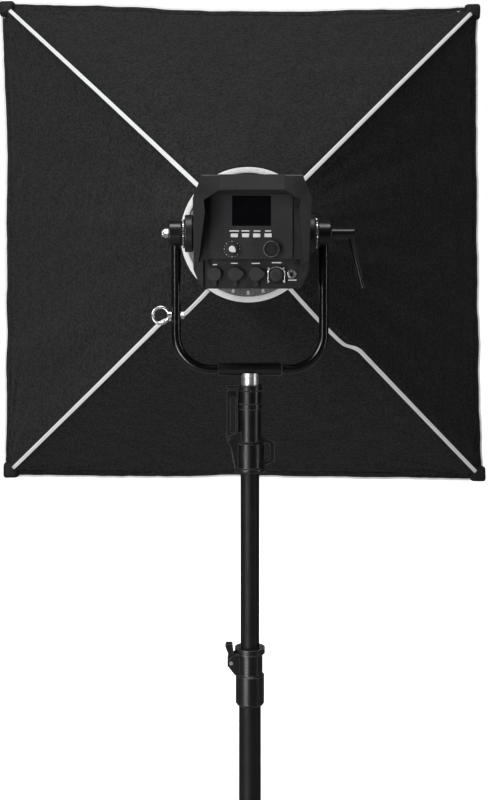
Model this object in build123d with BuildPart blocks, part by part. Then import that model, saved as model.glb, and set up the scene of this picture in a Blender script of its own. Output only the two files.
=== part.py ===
from build123d import *
import os
from math import cos, hypot, radians, sin

os.makedirs("parts", exist_ok=True)

# ---------------------------------------------------------------------------
# Driving dimensions, in millimetres.
# The frame is +Z up, +Y the way the softbox faces, +X to the right of a person
# who stands behind the lamp. The origin is under the middle of the whole object.
# Sizes named for the lamp are measured from its tilt axis, which crosses the
# axis of the stand at pivot_z.
# ---------------------------------------------------------------------------
pivot_z = 1650              # height of the tilt axis above the floor
foot_reach = 500            # stand axis to the centre of each foot
foot_r = 18
softbox_front = 714         # stand axis to the frontmost face of the softbox
leg_angles = {"front": 90, "left": 210, "right": 330}

# The origin halves the depth between the rear feet and the front of the softbox.
rearmost = foot_reach * sin(radians(30)) + foot_r
column_y = -(softbox_front - rearmost) / 2

slide_gap = 0.08            # running clearance on a radius
seat_gap = 0.02             # clearance on a radius between pieces fixed to each other
body_gap = 0.3              # clearance between parts that move past each other

# Stand
column_r, column_wall = 17.5, 2.0
column_low, column_top = 262, 950
riser_r, riser_wall = 15.0, 2.0
riser_low = 545
ring_r, ring_h = 29, 36
ring_pitch = 40
first_ring_z = 300
leg_r, leg_wall = 12.5, 2.0
leg_knee, leg_ankle, leg_bend_r = 96, 440, 60   # stand axis to each bend of a leg
leg_end_z = 26
foot_h = 42
foot_socket = 30
collar_h, collar_outer_r, spacer_r = 14, 26, 24

# Lower clamp, heights measured down from the tilt axis
clamp_top, clamp_flange_low, clamp_step, clamp_low = -661, -670, -703, -752
clamp_flange_r, clamp_upper_r, clamp_lower_r = 24, 20.25, 22.8
clamp_pin_x, clamp_pin_z, clamp_pin_r = -30, -684, 3
clevis_half, ear_thick = 12, 4

# Receiver on top of the riser, heights measured down from the tilt axis
receiver_top, receiver_low = -242, -381
receiver_r, receiver_band_r, receiver_base_r, receiver_flange_r = 18.5, 20, 22.5, 25.5
lever_pin_x, lever_pin_z, lever_pin_r = -30.5, -327, 2.5
lever_end_r, lever_thick = 6.5, 16

# Yoke
yoke_leg_x, yoke_bar_z = 118, -217
yoke_tube_r, yoke_wall, yoke_bend_r = 7.75, 1.75, 56
hub_inner_x, hub_outer_x, hub_r = 108, 130, 21
disc_inner_x, disc_outer_x, disc_r, disc_neck_r = 91, 104, 30, 17
sleeve_half, sleeve_r = 51, 10.7
spigot_r, spigot_low = 14.3, -330
bolt_r = 5.0
eye_bolt_r = 4.0
eye_neck_x = 131.5
eye_x, eye_z, eye_major, eye_minor, eye_bore_r = -142.7, -131, 12.75, 2.75, 10.5

# Lamp head, measured along Y from the tilt axis
cover_face, cover_front = -112, -88
shell_front = 110
connector_face = -108
panel_face = -114.5
handle_rear, handle_inner = -160, -138
wall = 3.0

# Softbox, measured along Y from the tilt axis
ring_back, ring_front = 145, 150
ring_plate_r, ring_bore_r = 105, 63
collar_r = 115
panel_back, panel_front = 152, 700
panel_half, panel_thick = 507, 2.0
rod_r = 3.0
rod_start = (96, 162)
rod_end = (697, 695)
binding_outer, binding_inner, binding_front = 513, 499, 712
pocket_inner, pocket_outer = 490, 521
diffuser_y, diffuser_half, diffuser_cut = 676, 485, 42
baffle_y, baffle_half, baffle_cut = 430, 235, 30


def column_plane(height):
    """Level plane on the stand's axis at a height above the floor."""
    return Plane(origin=(0, column_y, height), x_dir=(1, 0, 0), z_dir=(0, 0, 1))


def rear_plane(y, x=0, z=0):
    """Upright plane seen from behind the lamp: local x is +X, local y is up."""
    return Plane(origin=(x, column_y + y, pivot_z + z), x_dir=(1, 0, 0), z_dir=(0, -1, 0))


def side_plane(x, y=0, z=0):
    """Upright plane square to the tilt axis: local x is +Y, local y is up."""
    return Plane(origin=(x, column_y + y, pivot_z + z), x_dir=(0, 1, 0), z_dir=(1, 0, 0))


def leg_plane(angle):
    """Upright plane through the stand's axis: local x points out along a leg."""
    out = (cos(radians(angle)), sin(radians(angle)), 0)
    across = (sin(radians(angle)), -cos(radians(angle)), 0)
    return Plane(origin=(0, column_y, 0), x_dir=out, z_dir=across)


def turned(profile):
    """Solid turned about the stand's axis from a list of (radius, height) points."""
    with BuildPart() as solid:
        with BuildSketch(leg_plane(0)):
            with BuildLine():
                Polyline(*profile, close=True)
            make_face()
        revolve(axis=Axis((0, column_y, 0), (0, 0, 1)))
    return solid.part


def down(height):
    """Height above the floor of a place measured from the tilt axis."""
    return pivot_z + height


# ---------------------------------------------------------------------------
# Stand: column, three legs on stacked rings, and the clamp for the riser
# ---------------------------------------------------------------------------
with BuildPart() as base_column:
    with BuildSketch(column_plane(column_low)):
        Circle(column_r)
        Circle(column_r - column_wall, mode=Mode.SUBTRACT)
    extrude(amount=column_top - column_low)
base_column.part.label = "base_column"
export_step(base_column.part, "parts/base_column.step")

# Rings of the legs are kept apart by thin spacers between two locking collars.
ring_gap = ring_pitch - ring_h
with BuildPart() as hub_collars:
    lowest = first_ring_z - ring_h / 2
    for bottom, height, radius in (
        (lowest - collar_h, collar_h - body_gap, collar_outer_r),
        (lowest + ring_h + body_gap, ring_gap - 2 * body_gap, spacer_r),
        (lowest + ring_h + ring_pitch + body_gap, ring_gap - 2 * body_gap, spacer_r),
        (lowest + ring_h + 2 * ring_pitch + body_gap, collar_h, collar_outer_r),
    ):
        with BuildSketch(column_plane(bottom)):
            Circle(radius)
            Circle(column_r, mode=Mode.SUBTRACT)
        extrude(amount=height)
hub_collars.part.label = "hub_collars"
export_step(hub_collars.part, "parts/hub_collars.step")

for level, (side, angle) in enumerate(leg_angles.items()):
    ring_z = first_ring_z + level * ring_pitch
    with BuildPart() as leg:
        with BuildLine(leg_plane(angle)) as leg_path:
            FilletPolyline(
                (ring_r - 4, ring_z),
                (leg_knee, ring_z),
                (leg_ankle, leg_end_z),
                (foot_reach, leg_end_z),
                radius=leg_bend_r,
            )
        with BuildSketch(Plane(origin=leg_path.line @ 0, z_dir=leg_path.line % 0)):
            Circle(leg_r)
            Circle(leg_r - leg_wall, mode=Mode.SUBTRACT)
        sweep(path=leg_path.line)
        with BuildSketch(column_plane(ring_z - ring_h / 2)):
            Circle(ring_r)
        extrude(amount=ring_h)
        with BuildSketch(column_plane(ring_z - ring_h / 2)):
            Circle(column_r + slide_gap)
        extrude(amount=ring_h, mode=Mode.SUBTRACT)
    leg.part.label = f"{side}_leg"
    export_step(leg.part, f"parts/{side}_leg.step")

    out = leg_plane(angle)
    with BuildPart() as foot:
        with BuildSketch(Plane(origin=out.from_local_coords((foot_reach, 0, 0)), z_dir=(0, 0, 1))):
            Circle(foot_r)
        extrude(amount=foot_h)
        fillet(foot.edges().group_by(Axis.Z)[-1], 6)
        socket_start = out.from_local_coords((foot_reach - foot_socket, leg_end_z, 0))
        socket_plane = Plane(origin=socket_start, z_dir=out.x_dir)
        with BuildSketch(socket_plane):
            Circle(leg_r + seat_gap)
        extrude(amount=foot_socket, mode=Mode.SUBTRACT)
    foot.part.label = f"{side}_foot"
    export_step(foot.part, f"parts/{side}_foot.step")

clamp_profile = [
    (column_r + seat_gap, down(clamp_low)),
    (clamp_lower_r - 2, down(clamp_low)),
    (clamp_lower_r, down(clamp_low) + 3),
    (clamp_lower_r, down(clamp_step) - 2),
    (clamp_upper_r, down(clamp_step)),
    (clamp_upper_r, down(clamp_flange_low)),
    (clamp_flange_r, down(clamp_flange_low)),
    (clamp_flange_r, down(clamp_top)),
    (riser_r + slide_gap, down(clamp_top)),
    (riser_r + slide_gap, column_top + 0.1),
    (column_r + seat_gap, column_top + 0.1),
]
clamp_body = turned(clamp_profile)
with BuildPart() as clamp_collar:
    add(clamp_body)
    # Two ears on the left hold the pin of the thumb lever.
    for ear_y in (-clevis_half, clevis_half - ear_thick):
        with BuildSketch(rear_plane(ear_y + ear_thick)):
            with BuildLine():
                Polyline(
                    (-16.5, clamp_flange_low),
                    (-24, clamp_flange_low),
                    (clamp_pin_x - 6, clamp_pin_z + 4),
                    (clamp_pin_x - 6, clamp_pin_z - 4),
                    (-24, clamp_step),
                    (-16.5, clamp_step),
                    close=True,
                )
            make_face()
            with Locations((clamp_pin_x, clamp_pin_z)):
                Circle(clamp_pin_r, mode=Mode.SUBTRACT)
        extrude(amount=ear_thick)
    with BuildSketch(column_plane(down(clamp_step))):
        Circle(riser_r + slide_gap)
    extrude(amount=clamp_top - clamp_step, mode=Mode.SUBTRACT)
clamp_collar.part.label = "clamp_collar"
export_step(clamp_collar.part, "parts/clamp_collar.step")

with BuildPart() as clamp_pin:
    with BuildSketch(rear_plane(clevis_half + 1, clamp_pin_x, clamp_pin_z)):
        Circle(clamp_pin_r)
    extrude(amount=2 * clevis_half + 2)
clamp_pin.part.label = "clamp_pin"
export_step(clamp_pin.part, "parts/clamp_pin.step")

lever_half = clevis_half - ear_thick - body_gap
with BuildPart() as clamp_lever:
    with BuildSketch(rear_plane(lever_half)):
        with BuildLine():
            Polyline(
                (clamp_pin_x + 4, clamp_pin_z - 6),
                (clamp_pin_x + 4.5, clamp_pin_z + 10),
                (-27, -664),
                (-28, -655),
                (-38, -655),
                (-39.5, -659),
                (-35, -670),
                (-36, -688),
                (-33, -692),
                close=True,
            )
        make_face()
        with Locations((clamp_pin_x, clamp_pin_z)):
            Circle(clamp_pin_r + slide_gap, mode=Mode.SUBTRACT)
    extrude(amount=2 * lever_half)
    fillet(clamp_lever.edges().filter_by(Axis.Y).group_by(Axis.Z)[-1], 2)
clamp_lever.part.label = "clamp_lever"
export_step(clamp_lever.part, "parts/clamp_lever.step")

# ---------------------------------------------------------------------------
# Riser and receiver
# ---------------------------------------------------------------------------
riser_top = down(receiver_low) + 42
with BuildPart() as riser_tube:
    with BuildSketch(column_plane(riser_low)):
        Circle(riser_r)
        Circle(riser_r - riser_wall, mode=Mode.SUBTRACT)
    extrude(amount=riser_top - riser_low)
riser_tube.part.label = "riser_tube"
export_step(riser_tube.part, "parts/riser_tube.step")

spigot_seat = down(spigot_low) - 1
spigot_bore = spigot_r + 0.1
receiver_profile = [
    (riser_r + seat_gap, down(receiver_low)),
    (receiver_flange_r - 1.5, down(receiver_low)),
    (receiver_flange_r, down(receiver_low) + 3),
    (receiver_flange_r, down(-374.5)),
    (receiver_base_r, down(-373)),
    (receiver_base_r, down(-335)),
    (receiver_r, down(-332)),
    (receiver_r, down(-281)),
    (receiver_band_r, down(-280)),
    (receiver_band_r, down(-272)),
    (receiver_r, down(-271)),
    (receiver_r, down(-252)),
    (receiver_band_r, down(-250)),
    (receiver_band_r, down(receiver_top) - 1),
    (receiver_band_r - 1, down(receiver_top)),
    (spigot_bore, down(receiver_top)),
    (spigot_bore, spigot_seat),
    (spigot_r - 4, spigot_seat),
    (spigot_r - 4, riser_top + 0.1),
    (riser_r + seat_gap, riser_top + 0.1),
]
receiver_body = turned(receiver_profile)
with BuildPart() as receiver:
    add(receiver_body)
    # Tab over the lever, the ears of its pin, and the rib below them.
    with BuildSketch(rear_plane(lever_thick / 2)):
        with BuildLine():
            Polyline((-17, -242.5), (-38, -242.5), (-39, -245), (-36, -247.5), (-17, -247.5), close=True)
        make_face()
    extrude(amount=lever_thick)
    for ear_y in (-clevis_half, clevis_half - ear_thick):
        with BuildSketch(rear_plane(ear_y + ear_thick)):
            with BuildLine():
                Polyline(
                    (-14, -316),
                    (-26, -319),
                    (-35, -323),
                    (-35, -333),
                    (-30, -342),
                    (-24, -372),
                    (-14, -372),
                    close=True,
                )
            make_face()
            with Locations((lever_pin_x, lever_pin_z)):
                Circle(lever_pin_r, mode=Mode.SUBTRACT)
        extrude(amount=ear_thick)
    with BuildSketch(rear_plane(lever_thick / 2)):
        with BuildLine():
            Polyline((-14, -337), (-31, -337), (-25, -373), (-14, -373), close=True)
        make_face()
    extrude(amount=lever_thick)
    # Lug with a hand opening on the right.
    with BuildSketch(rear_plane(5)):
        with BuildLine():
            Polyline(
                (14, -322),
                (20, -325),
                (37, -332),
                (39, -336),
                (39, -361),
                (37, -365),
                (14, -374),
                close=True,
            )
        make_face()
        with BuildLine():
            Polyline(
                (23.5, -333),
                (30, -335.5),
                (32, -338),
                (32, -358),
                (29.5, -362),
                (23.5, -363),
                close=True,
            )
        make_face(mode=Mode.SUBTRACT)
    extrude(amount=10)
    with BuildSketch(column_plane(down(receiver_low))):
        Circle(riser_r + seat_gap)
    extrude(amount=riser_top + 0.1 - down(receiver_low), mode=Mode.SUBTRACT)
    with BuildSketch(column_plane(spigot_seat)):
        Circle(spigot_bore)
    extrude(amount=down(receiver_top) - spigot_seat, mode=Mode.SUBTRACT)
receiver.part.label = "receiver"
export_step(receiver.part, "parts/receiver.step")

with BuildPart() as receiver_pin:
    with BuildSketch(rear_plane(clevis_half + 1, lever_pin_x, lever_pin_z)):
        Circle(lever_pin_r)
    extrude(amount=2 * clevis_half + 2)
receiver_pin.part.label = "receiver_pin"
export_step(receiver_pin.part, "parts/receiver_pin.step")

with BuildPart() as receiver_lever:
    with BuildSketch(rear_plane(lever_thick / 2 - body_gap)):
        with BuildLine():
            Polyline(
                (-20.5, -250),
                (-34, -250),
                (-37, -253),
                (-37, lever_pin_z),
                (-24, lever_pin_z),
                (-20.5, -320),
                close=True,
            )
        make_face()
        with Locations((lever_pin_x, lever_pin_z)):
            Circle(lever_end_r)
        with BuildLine():
            Polyline(
                (-23, -264),
                (-25, -261),
                (-29.5, -261),
                (-31.5, -264),
                (-31.5, -317),
                (-23, -317),
                close=True,
            )
        make_face(mode=Mode.SUBTRACT)
        with Locations((lever_pin_x, lever_pin_z)):
            Circle(lever_pin_r + slide_gap, mode=Mode.SUBTRACT)
    extrude(amount=lever_thick - 2 * body_gap)
receiver_lever.part.label = "receiver_lever"
export_step(receiver_lever.part, "parts/receiver_lever.step")

# ---------------------------------------------------------------------------
# Yoke
# ---------------------------------------------------------------------------
with BuildPart() as yoke_tube:
    with BuildLine(rear_plane(0)) as yoke_path:
        FilletPolyline(
            (-yoke_leg_x, 0),
            (-yoke_leg_x, yoke_bar_z),
            (yoke_leg_x, yoke_bar_z),
            (yoke_leg_x, 0),
            radius=yoke_bend_r,
        )
    with BuildSketch(Plane(origin=yoke_path.line @ 0, z_dir=yoke_path.line % 0)):
        Circle(yoke_tube_r)
        Circle(yoke_tube_r - yoke_wall, mode=Mode.SUBTRACT)
    sweep(path=yoke_path.line)
    # The tops of the legs end in the hubs; the left leg is drilled for the eye bolt.
    for hub_side in (-1, 1):
        with BuildSketch(side_plane(hub_side * (hub_inner_x + hub_outer_x) / 2)):
            Circle(hub_r + seat_gap)
        extrude(amount=15, both=True, mode=Mode.SUBTRACT)
    with BuildSketch(side_plane(-yoke_leg_x, 0, eye_z)):
        Circle(eye_bolt_r)
    extrude(amount=12, both=True, mode=Mode.SUBTRACT)
yoke_tube.part.label = "yoke_tube"
export_step(yoke_tube.part, "parts/yoke_tube.step")

with BuildPart() as yoke_hubs:
    for hub_side in (-1, 1):
        start = hub_inner_x if hub_side > 0 else -hub_outer_x
        with BuildSketch(side_plane(start)):
            Circle(hub_r)
            Circle(bolt_r + slide_gap, mode=Mode.SUBTRACT)
        extrude(amount=hub_outer_x - hub_inner_x)
    rims = yoke_hubs.edges().filter_by(GeomType.CIRCLE).filter_by(lambda e: e.radius > hub_r - 1)
    fillet(rims, 3)
yoke_hubs.part.label = "yoke_hubs"
export_step(yoke_hubs.part, "parts/yoke_hubs.step")

with BuildPart() as friction_discs:
    for disc_side in (-1, 1):
        start = disc_inner_x if disc_side > 0 else -disc_outer_x
        with BuildSketch(side_plane(start)):
            Circle(disc_r)
            Circle(bolt_r + slide_gap, mode=Mode.SUBTRACT)
        extrude(amount=disc_outer_x - disc_inner_x)
        neck_start = disc_outer_x if disc_side > 0 else -hub_inner_x
        with BuildSketch(side_plane(neck_start)):
            Circle(disc_neck_r)
            Circle(bolt_r + slide_gap, mode=Mode.SUBTRACT)
        extrude(amount=hub_inner_x - disc_outer_x)
    rims = friction_discs.edges().filter_by(GeomType.CIRCLE).filter_by(lambda e: e.radius > disc_r - 1)
    fillet(rims, 2)
friction_discs.part.label = "friction_discs"
export_step(friction_discs.part, "parts/friction_discs.step")

with BuildPart() as yoke_sleeve:
    with BuildSketch(side_plane(-sleeve_half, 0, yoke_bar_z)):
        Circle(sleeve_r)
        Circle(yoke_tube_r, mode=Mode.SUBTRACT)
    extrude(amount=2 * sleeve_half)
yoke_sleeve.part.label = "yoke_sleeve"
export_step(yoke_sleeve.part, "parts/yoke_sleeve.step")

spigot_top = yoke_bar_z - 6
with BuildPart() as spigot:
    with BuildSketch(column_plane(down(spigot_low))):
        Circle(spigot_r)
    extrude(amount=spigot_top - spigot_low)
    chamfer(spigot.edges().group_by(Axis.Z)[0], 1.5)
    with BuildSketch(side_plane(-2 * spigot_r, 0, yoke_bar_z)):
        Circle(sleeve_r)
    extrude(amount=4 * spigot_r, mode=Mode.SUBTRACT)
spigot.part.label = "spigot"
export_step(spigot.part, "parts/spigot.step")

bolt_inner_x = 72
nut_inner_x, nut_outer_x = hub_outer_x, 142
with BuildPart() as pivot_bolt:
    with BuildSketch(side_plane(-nut_inner_x - 6)):
        Circle(bolt_r)
    extrude(amount=nut_inner_x + 6 - bolt_inner_x)
pivot_bolt.part.label = "pivot_bolt"
export_step(pivot_bolt.part, "parts/pivot_bolt.step")

# Acorn nut on the pivot bolt, and the plain nut of the eye bolt inside the leg.
with BuildPart() as yoke_nuts:
    with BuildSketch(side_plane(-nut_inner_x)):
        RegularPolygon(8, 6)
    extrude(amount=-7)
    with BuildSketch(side_plane(-nut_inner_x - 7)):
        Circle(6.2)
    extrude(amount=-(nut_outer_x - nut_inner_x - 7))
    fillet(yoke_nuts.edges().group_by(Axis.X)[0], 3.5)
    with BuildSketch(side_plane(-nut_inner_x)):
        Circle(bolt_r)
    extrude(amount=-6.1, mode=Mode.SUBTRACT)
    with BuildSketch(side_plane(-yoke_leg_x + yoke_tube_r, 0, eye_z)):
        RegularPolygon(6.5, 6)
        Circle(eye_bolt_r, mode=Mode.SUBTRACT)
    extrude(amount=5)
yoke_nuts.part.label = "yoke_nuts"
export_step(yoke_nuts.part, "parts/yoke_nuts.step")

with BuildPart() as eye_bolt:
    with BuildSketch(Plane(origin=(eye_x, column_y, pivot_z + eye_z), z_dir=(0, 0, 1))):
        with Locations((eye_major, 0)):
            Circle(eye_minor)
    revolve(axis=Axis((eye_x, column_y, pivot_z + eye_z), (0, 1, 0)))
    with BuildSketch(side_plane(-eye_neck_x, 0, eye_z)):
        Circle(eye_bolt_r)
    extrude(amount=26.5)
    with BuildSketch(side_plane(-eye_neck_x, 0, eye_z)):
        Circle(7.0)
    extrude(amount=eye_neck_x - yoke_leg_x - yoke_tube_r)
    with BuildSketch(rear_plane(10, eye_x, eye_z)):
        Circle(eye_bore_r)
    extrude(amount=20, mode=Mode.SUBTRACT)
eye_bolt.part.label = "eye_bolt"
export_step(eye_bolt.part, "parts/eye_bolt.step")

# Clamp lever on the right: its stud pulls the hub against the friction disc.
lever_hub_x, lever_hub_end, lever_hub_r = hub_outer_x + body_gap, 168, 9
with BuildPart() as tilt_lever:
    with BuildSketch(side_plane(bolt_inner_x)):
        Circle(bolt_r)
    extrude(amount=lever_hub_x - bolt_inner_x + 1)
    with BuildSketch(side_plane(lever_hub_x)):
        Circle(lever_hub_r)
    extrude(amount=lever_hub_end - lever_hub_x)
    fillet(tilt_lever.edges().group_by(Axis.X)[-1], 2)
    with BuildSketch(Plane(origin=(160, column_y, pivot_z + 3), x_dir=(1, 0, 0), z_dir=(0, 0, 1))):
        Ellipse(5, 6.5)
    with BuildSketch(Plane(origin=(180.5, column_y, pivot_z - 88), x_dir=(1, 0, 0), z_dir=(0, 0, 1))):
        Ellipse(5, 7)
    loft()
    fillet(tilt_lever.edges().group_by(Axis.Z)[0], 2.5)
tilt_lever.part.label = "tilt_lever"
export_step(tilt_lever.part, "parts/tilt_lever.step")

# ---------------------------------------------------------------------------
# Lamp head: shells, handle, control panel and connectors
# ---------------------------------------------------------------------------
outline = [(75, 84), (88, 49), (88, -57), (76, -86), (-76, -86), (-88, -57), (-88, 49), (-75, 84)]


def lamp_outline(plane, inset, corner):
    """Eight-sided outline of the lamp head, drawn in by an inset, with rounded corners."""
    with BuildSketch(plane) as face:
        with BuildLine():
            Polyline(*outline, close=True)
        make_face()
        offset(amount=-inset, kind=Kind.INTERSECTION)
        fillet(face.vertices(), corner)
    return face.sketch


shell_inset = 4
shell_outer = lamp_outline(rear_plane(shell_front), shell_inset, 10)
shell_inner = lamp_outline(rear_plane(shell_front - wall), shell_inset + wall, 7)
boss_reach = disc_inner_x - body_gap
vent_pitch, vent_w = 13, 5
with BuildPart() as body_shell:
    extrude(shell_outer, amount=shell_front - cover_front)
    chamfer(body_shell.faces().sort_by(Axis.Y)[-1].edges(), 9)
    extrude(shell_inner, amount=shell_front - wall - cover_front, mode=Mode.SUBTRACT)
    with BuildSketch(rear_plane(shell_front)):
        Circle(52)
    extrude(amount=wall, mode=Mode.SUBTRACT)
    # Bosses on both sides carry the pivot.
    for boss_side in (-1, 1):
        with BuildSketch(side_plane(boss_side * boss_reach)):
            Circle(24)
        extrude(amount=-boss_side * 12)
        with BuildSketch(side_plane(boss_side * boss_reach)):
            Circle(bolt_r + slide_gap)
        extrude(amount=-boss_side * 30, mode=Mode.SUBTRACT)
    # Cooling slots through the sides, the top and the underside.
    for middle, count in ((66, 5), (-56, 4)):
        with BuildSketch(side_plane(-100, middle, -4)):
            with GridLocations(vent_pitch, 0, count, 1):
                SlotOverall(56, vent_w, rotation=90)
        extrude(amount=200, mode=Mode.SUBTRACT)
    with BuildSketch(Plane(origin=(0, column_y + 10, pivot_z - 100), x_dir=(0, 1, 0), z_dir=(0, 0, 1))):
        with GridLocations(vent_pitch, 0, 11, 1):
            SlotOverall(90, vent_w, rotation=90)
    extrude(amount=200, mode=Mode.SUBTRACT)
body_shell.part.label = "body_shell"
export_step(body_shell.part, "parts/body_shell.step")

cover_outer = lamp_outline(rear_plane(cover_front), 0, 9)
cover_inner = lamp_outline(rear_plane(cover_front), wall, 7)
panel_low, panel_high, panel_half_width = -41, 57, 62
port_z = -64
port_xs = (-56, -25, 7)
port_r = 9
screw_places = [(-67.5, 39), (67.5, 39), (-67.5, -47), (67.5, -47)]
with BuildPart() as rear_cover:
    extrude(cover_outer, amount=cover_front - cover_face)
    chamfer(rear_cover.faces().sort_by(Axis.Y)[0].edges(), 2)
    extrude(cover_inner, amount=cover_front - cover_face - wall - 4, mode=Mode.SUBTRACT)
    # The connector field is set back from the face.
    with BuildSketch(rear_plane(connector_face)):
        with Locations((0, (panel_low - 1 - 90) / 2)):
            Rectangle(146, 90 + panel_low - 1)
    extrude(amount=10, mode=Mode.SUBTRACT)
    # Window behind the control panel.
    with BuildSketch(rear_plane(cover_front)):
        with Locations((0, (panel_low + panel_high) / 2)):
            RectangleRounded(2 * panel_half_width - 3, panel_high - panel_low - 3, 4)
    extrude(amount=60, mode=Mode.SUBTRACT)
    # Holes for the connectors and the four cover screws.
    with BuildSketch(rear_plane(cover_front)):
        with Locations(*[(x, port_z) for x in port_xs]):
            Circle(port_r)
        with Locations((37.5, port_z - 1)):
            Circle(11)
        with Locations((61, port_z)):
            Circle(5)
        with Locations(*screw_places):
            Circle(2)
    extrude(amount=60, mode=Mode.SUBTRACT)
rear_cover.part.label = "rear_cover"
export_step(rear_cover.part, "parts/rear_cover.step")

# The carrying handle bridges the top of the rear face and runs down both sides.
arm_low, arm_knee = -46, 36
with BuildPart() as carry_handle:
    with BuildSketch(rear_plane(cover_face - 0.02)):
        with BuildLine():
            Polyline(
                (-74, 84), (74, 84), (88, 49), (86, arm_low), (80, arm_low), (70, 30),
                (72, 46), (50, 60), (-50, 60), (-72, 46), (-70, 30), (-80, arm_low),
                (-86, arm_low), (-88, 49), close=True,
            )
        make_face()
    extrude(amount=cover_face - handle_rear)
    # The arms sink into the cover towards their lower ends.
    with BuildSketch(side_plane(-100)):
        with BuildLine():
            Polyline(
                (handle_rear - 5, 84 - 30), (handle_rear, 84 - 30), (handle_rear + 8, arm_knee),
                (cover_face - 3, arm_low), (cover_face - 3, -100), (handle_rear - 5, -100), close=True,
            )
        make_face()
    extrude(amount=200, mode=Mode.SUBTRACT)
    # Finger gap between the grip and the cover.
    with BuildSketch(side_plane(-62)):
        with BuildLine():
            Polyline((cover_face, 20), (cover_face, 90), (handle_inner, 90), (handle_inner, 20), close=True)
        make_face()
    extrude(amount=124, mode=Mode.SUBTRACT)
    grip_edges = carry_handle.edges().filter_by(Axis.X).filter_by(lambda e: e.center().Z > pivot_z + 80)
    fillet(grip_edges, 4)
carry_handle.part.label = "carry_handle"
export_step(carry_handle.part, "parts/carry_handle.step")

screen_z, screen_w, screen_h = 32, 59, 46
button_z, button_w, button_h = -5.4, 11, 5.7
button_xs = (-26, -9, 8, 25)
dial_x, knob_x, knob_z, knob_r = -29.6, 29.6, -26, 12
shaft_r = 3
with BuildPart() as control_panel:
    with BuildSketch(rear_plane(cover_face)):
        with Locations((0, (panel_low + panel_high) / 2)):
            RectangleRounded(2 * panel_half_width, panel_high - panel_low, 6)
        with Locations((0, screen_z)):
            RectangleRounded(screen_w, screen_h, 1.5, mode=Mode.SUBTRACT)
        with Locations(*[(x, button_z) for x in button_xs]):
            RectangleRounded(button_w + 0.6, button_h + 0.6, 1, mode=Mode.SUBTRACT)
        with Locations((dial_x, knob_z), (knob_x, knob_z)):
            Circle(shaft_r + slide_gap, mode=Mode.SUBTRACT)
    extrude(amount=cover_face - panel_face)
control_panel.part.label = "control_panel"
export_step(control_panel.part, "parts/control_panel.step")

with BuildPart() as display_window:
    with BuildSketch(rear_plane(cover_face + 1)):
        with Locations((0, screen_z)):
            RectangleRounded(screen_w - 0.2, screen_h - 0.2, 1.4)
    extrude(amount=3)
display_window.part.label = "display_window"
export_step(display_window.part, "parts/display_window.step")

for number, button_x in enumerate(button_xs, start=1):
    with BuildPart() as button:
        with BuildSketch(rear_plane(cover_face + 2, button_x, button_z)):
            RectangleRounded(button_w + 2, button_h + 2, 1)
        extrude(amount=1.5)
        with BuildSketch(rear_plane(cover_face + 1, button_x, button_z)):
            RectangleRounded(button_w, button_h, 1)
        extrude(amount=cover_face + 1 - (panel_face - 1.8))
        fillet(button.faces().sort_by(Axis.Y)[0].edges(), 0.6)
    button.part.label = f"button_{number}"
    export_step(button.part, f"parts/button_{number}.step")

with BuildPart() as left_dial:
    with BuildSketch(rear_plane(panel_face - body_gap, dial_x, knob_z)):
        Circle(9)
    extrude(amount=7)
    fillet(left_dial.faces().sort_by(Axis.Y)[0].edges(), 1)
    # Pointer cap with a nose.
    with BuildSketch(rear_plane(panel_face - body_gap - 6.9, dial_x, knob_z)):
        Circle(5)
        with BuildLine():
            Polyline((0, -4.9), (4.9, 0), (6.2, -4.6), close=True)
        make_face()
    extrude(amount=2.4)
    with BuildSketch(rear_plane(cover_face + 8, dial_x, knob_z)):
        Circle(shaft_r)
    extrude(amount=cover_face + 8 - panel_face + 1)
left_dial.part.label = "left_dial"
export_step(left_dial.part, "parts/left_dial.step")

with BuildPart() as right_knob:
    with BuildSketch(rear_plane(panel_face - body_gap, knob_x, knob_z)):
        Circle(knob_r)
    extrude(amount=8)
    chamfer(right_knob.faces().sort_by(Axis.Y)[0].edges(), 1)
    # Shallow dish with a raised middle.
    with BuildSketch(rear_plane(panel_face - body_gap - 8, knob_x, knob_z)):
        Circle(knob_r - 2)
        Circle(6, mode=Mode.SUBTRACT)
    extrude(amount=-1.5, mode=Mode.SUBTRACT)
    with BuildSketch(rear_plane(cover_face + 8, knob_x, knob_z)):
        Circle(shaft_r)
    extrude(amount=cover_face + 8 - panel_face + 1)
right_knob.part.label = "right_knob"
export_step(right_knob.part, "parts/right_knob.step")

socket_face = connector_face - 2
with BuildPart() as port_sockets:
    for x in port_xs:
        with BuildSketch(rear_plane(connector_face + 12, x, port_z)):
            Circle(port_r - 0.02)
        extrude(amount=14)
        with BuildSketch(rear_plane(socket_face, x, port_z)):
            Circle(6.5)
        extrude(amount=-8, mode=Mode.SUBTRACT)
port_sockets.part.label = "port_sockets"
export_step(port_sockets.part, "parts/port_sockets.step")

# Soft caps over the sockets, each on a strap that folds at its lower end.
cap_r, cap_thick, strap_low = 10.5, 4.5, -82
cap_back = socket_face - body_gap
caps = (("usb_cap", port_xs[0], 0), ("data_in_cap", port_xs[1], 1), ("data_out_cap", port_xs[2], 1))
for cap_name, x, nose in caps:
    with BuildPart() as port_cap:
        with BuildSketch(rear_plane(cap_back, x, port_z)):
            Circle(cap_r)
            if nose:
                with BuildLine():
                    Polyline((0, cap_r - 0.2), (13.5, 3.5), (13.5, -2), (5, -9), close=True)
                make_face()
        extrude(amount=cap_thick)
        fillet(port_cap.faces().sort_by(Axis.Y)[0].edges(), 1)
        with BuildSketch(rear_plane(cap_back, x, (port_z + strap_low) / 2)):
            Rectangle(6, port_z - strap_low)
        extrude(amount=2)
    port_cap.part.label = cap_name
    export_step(port_cap.part, f"parts/{cap_name}.step")

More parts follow.
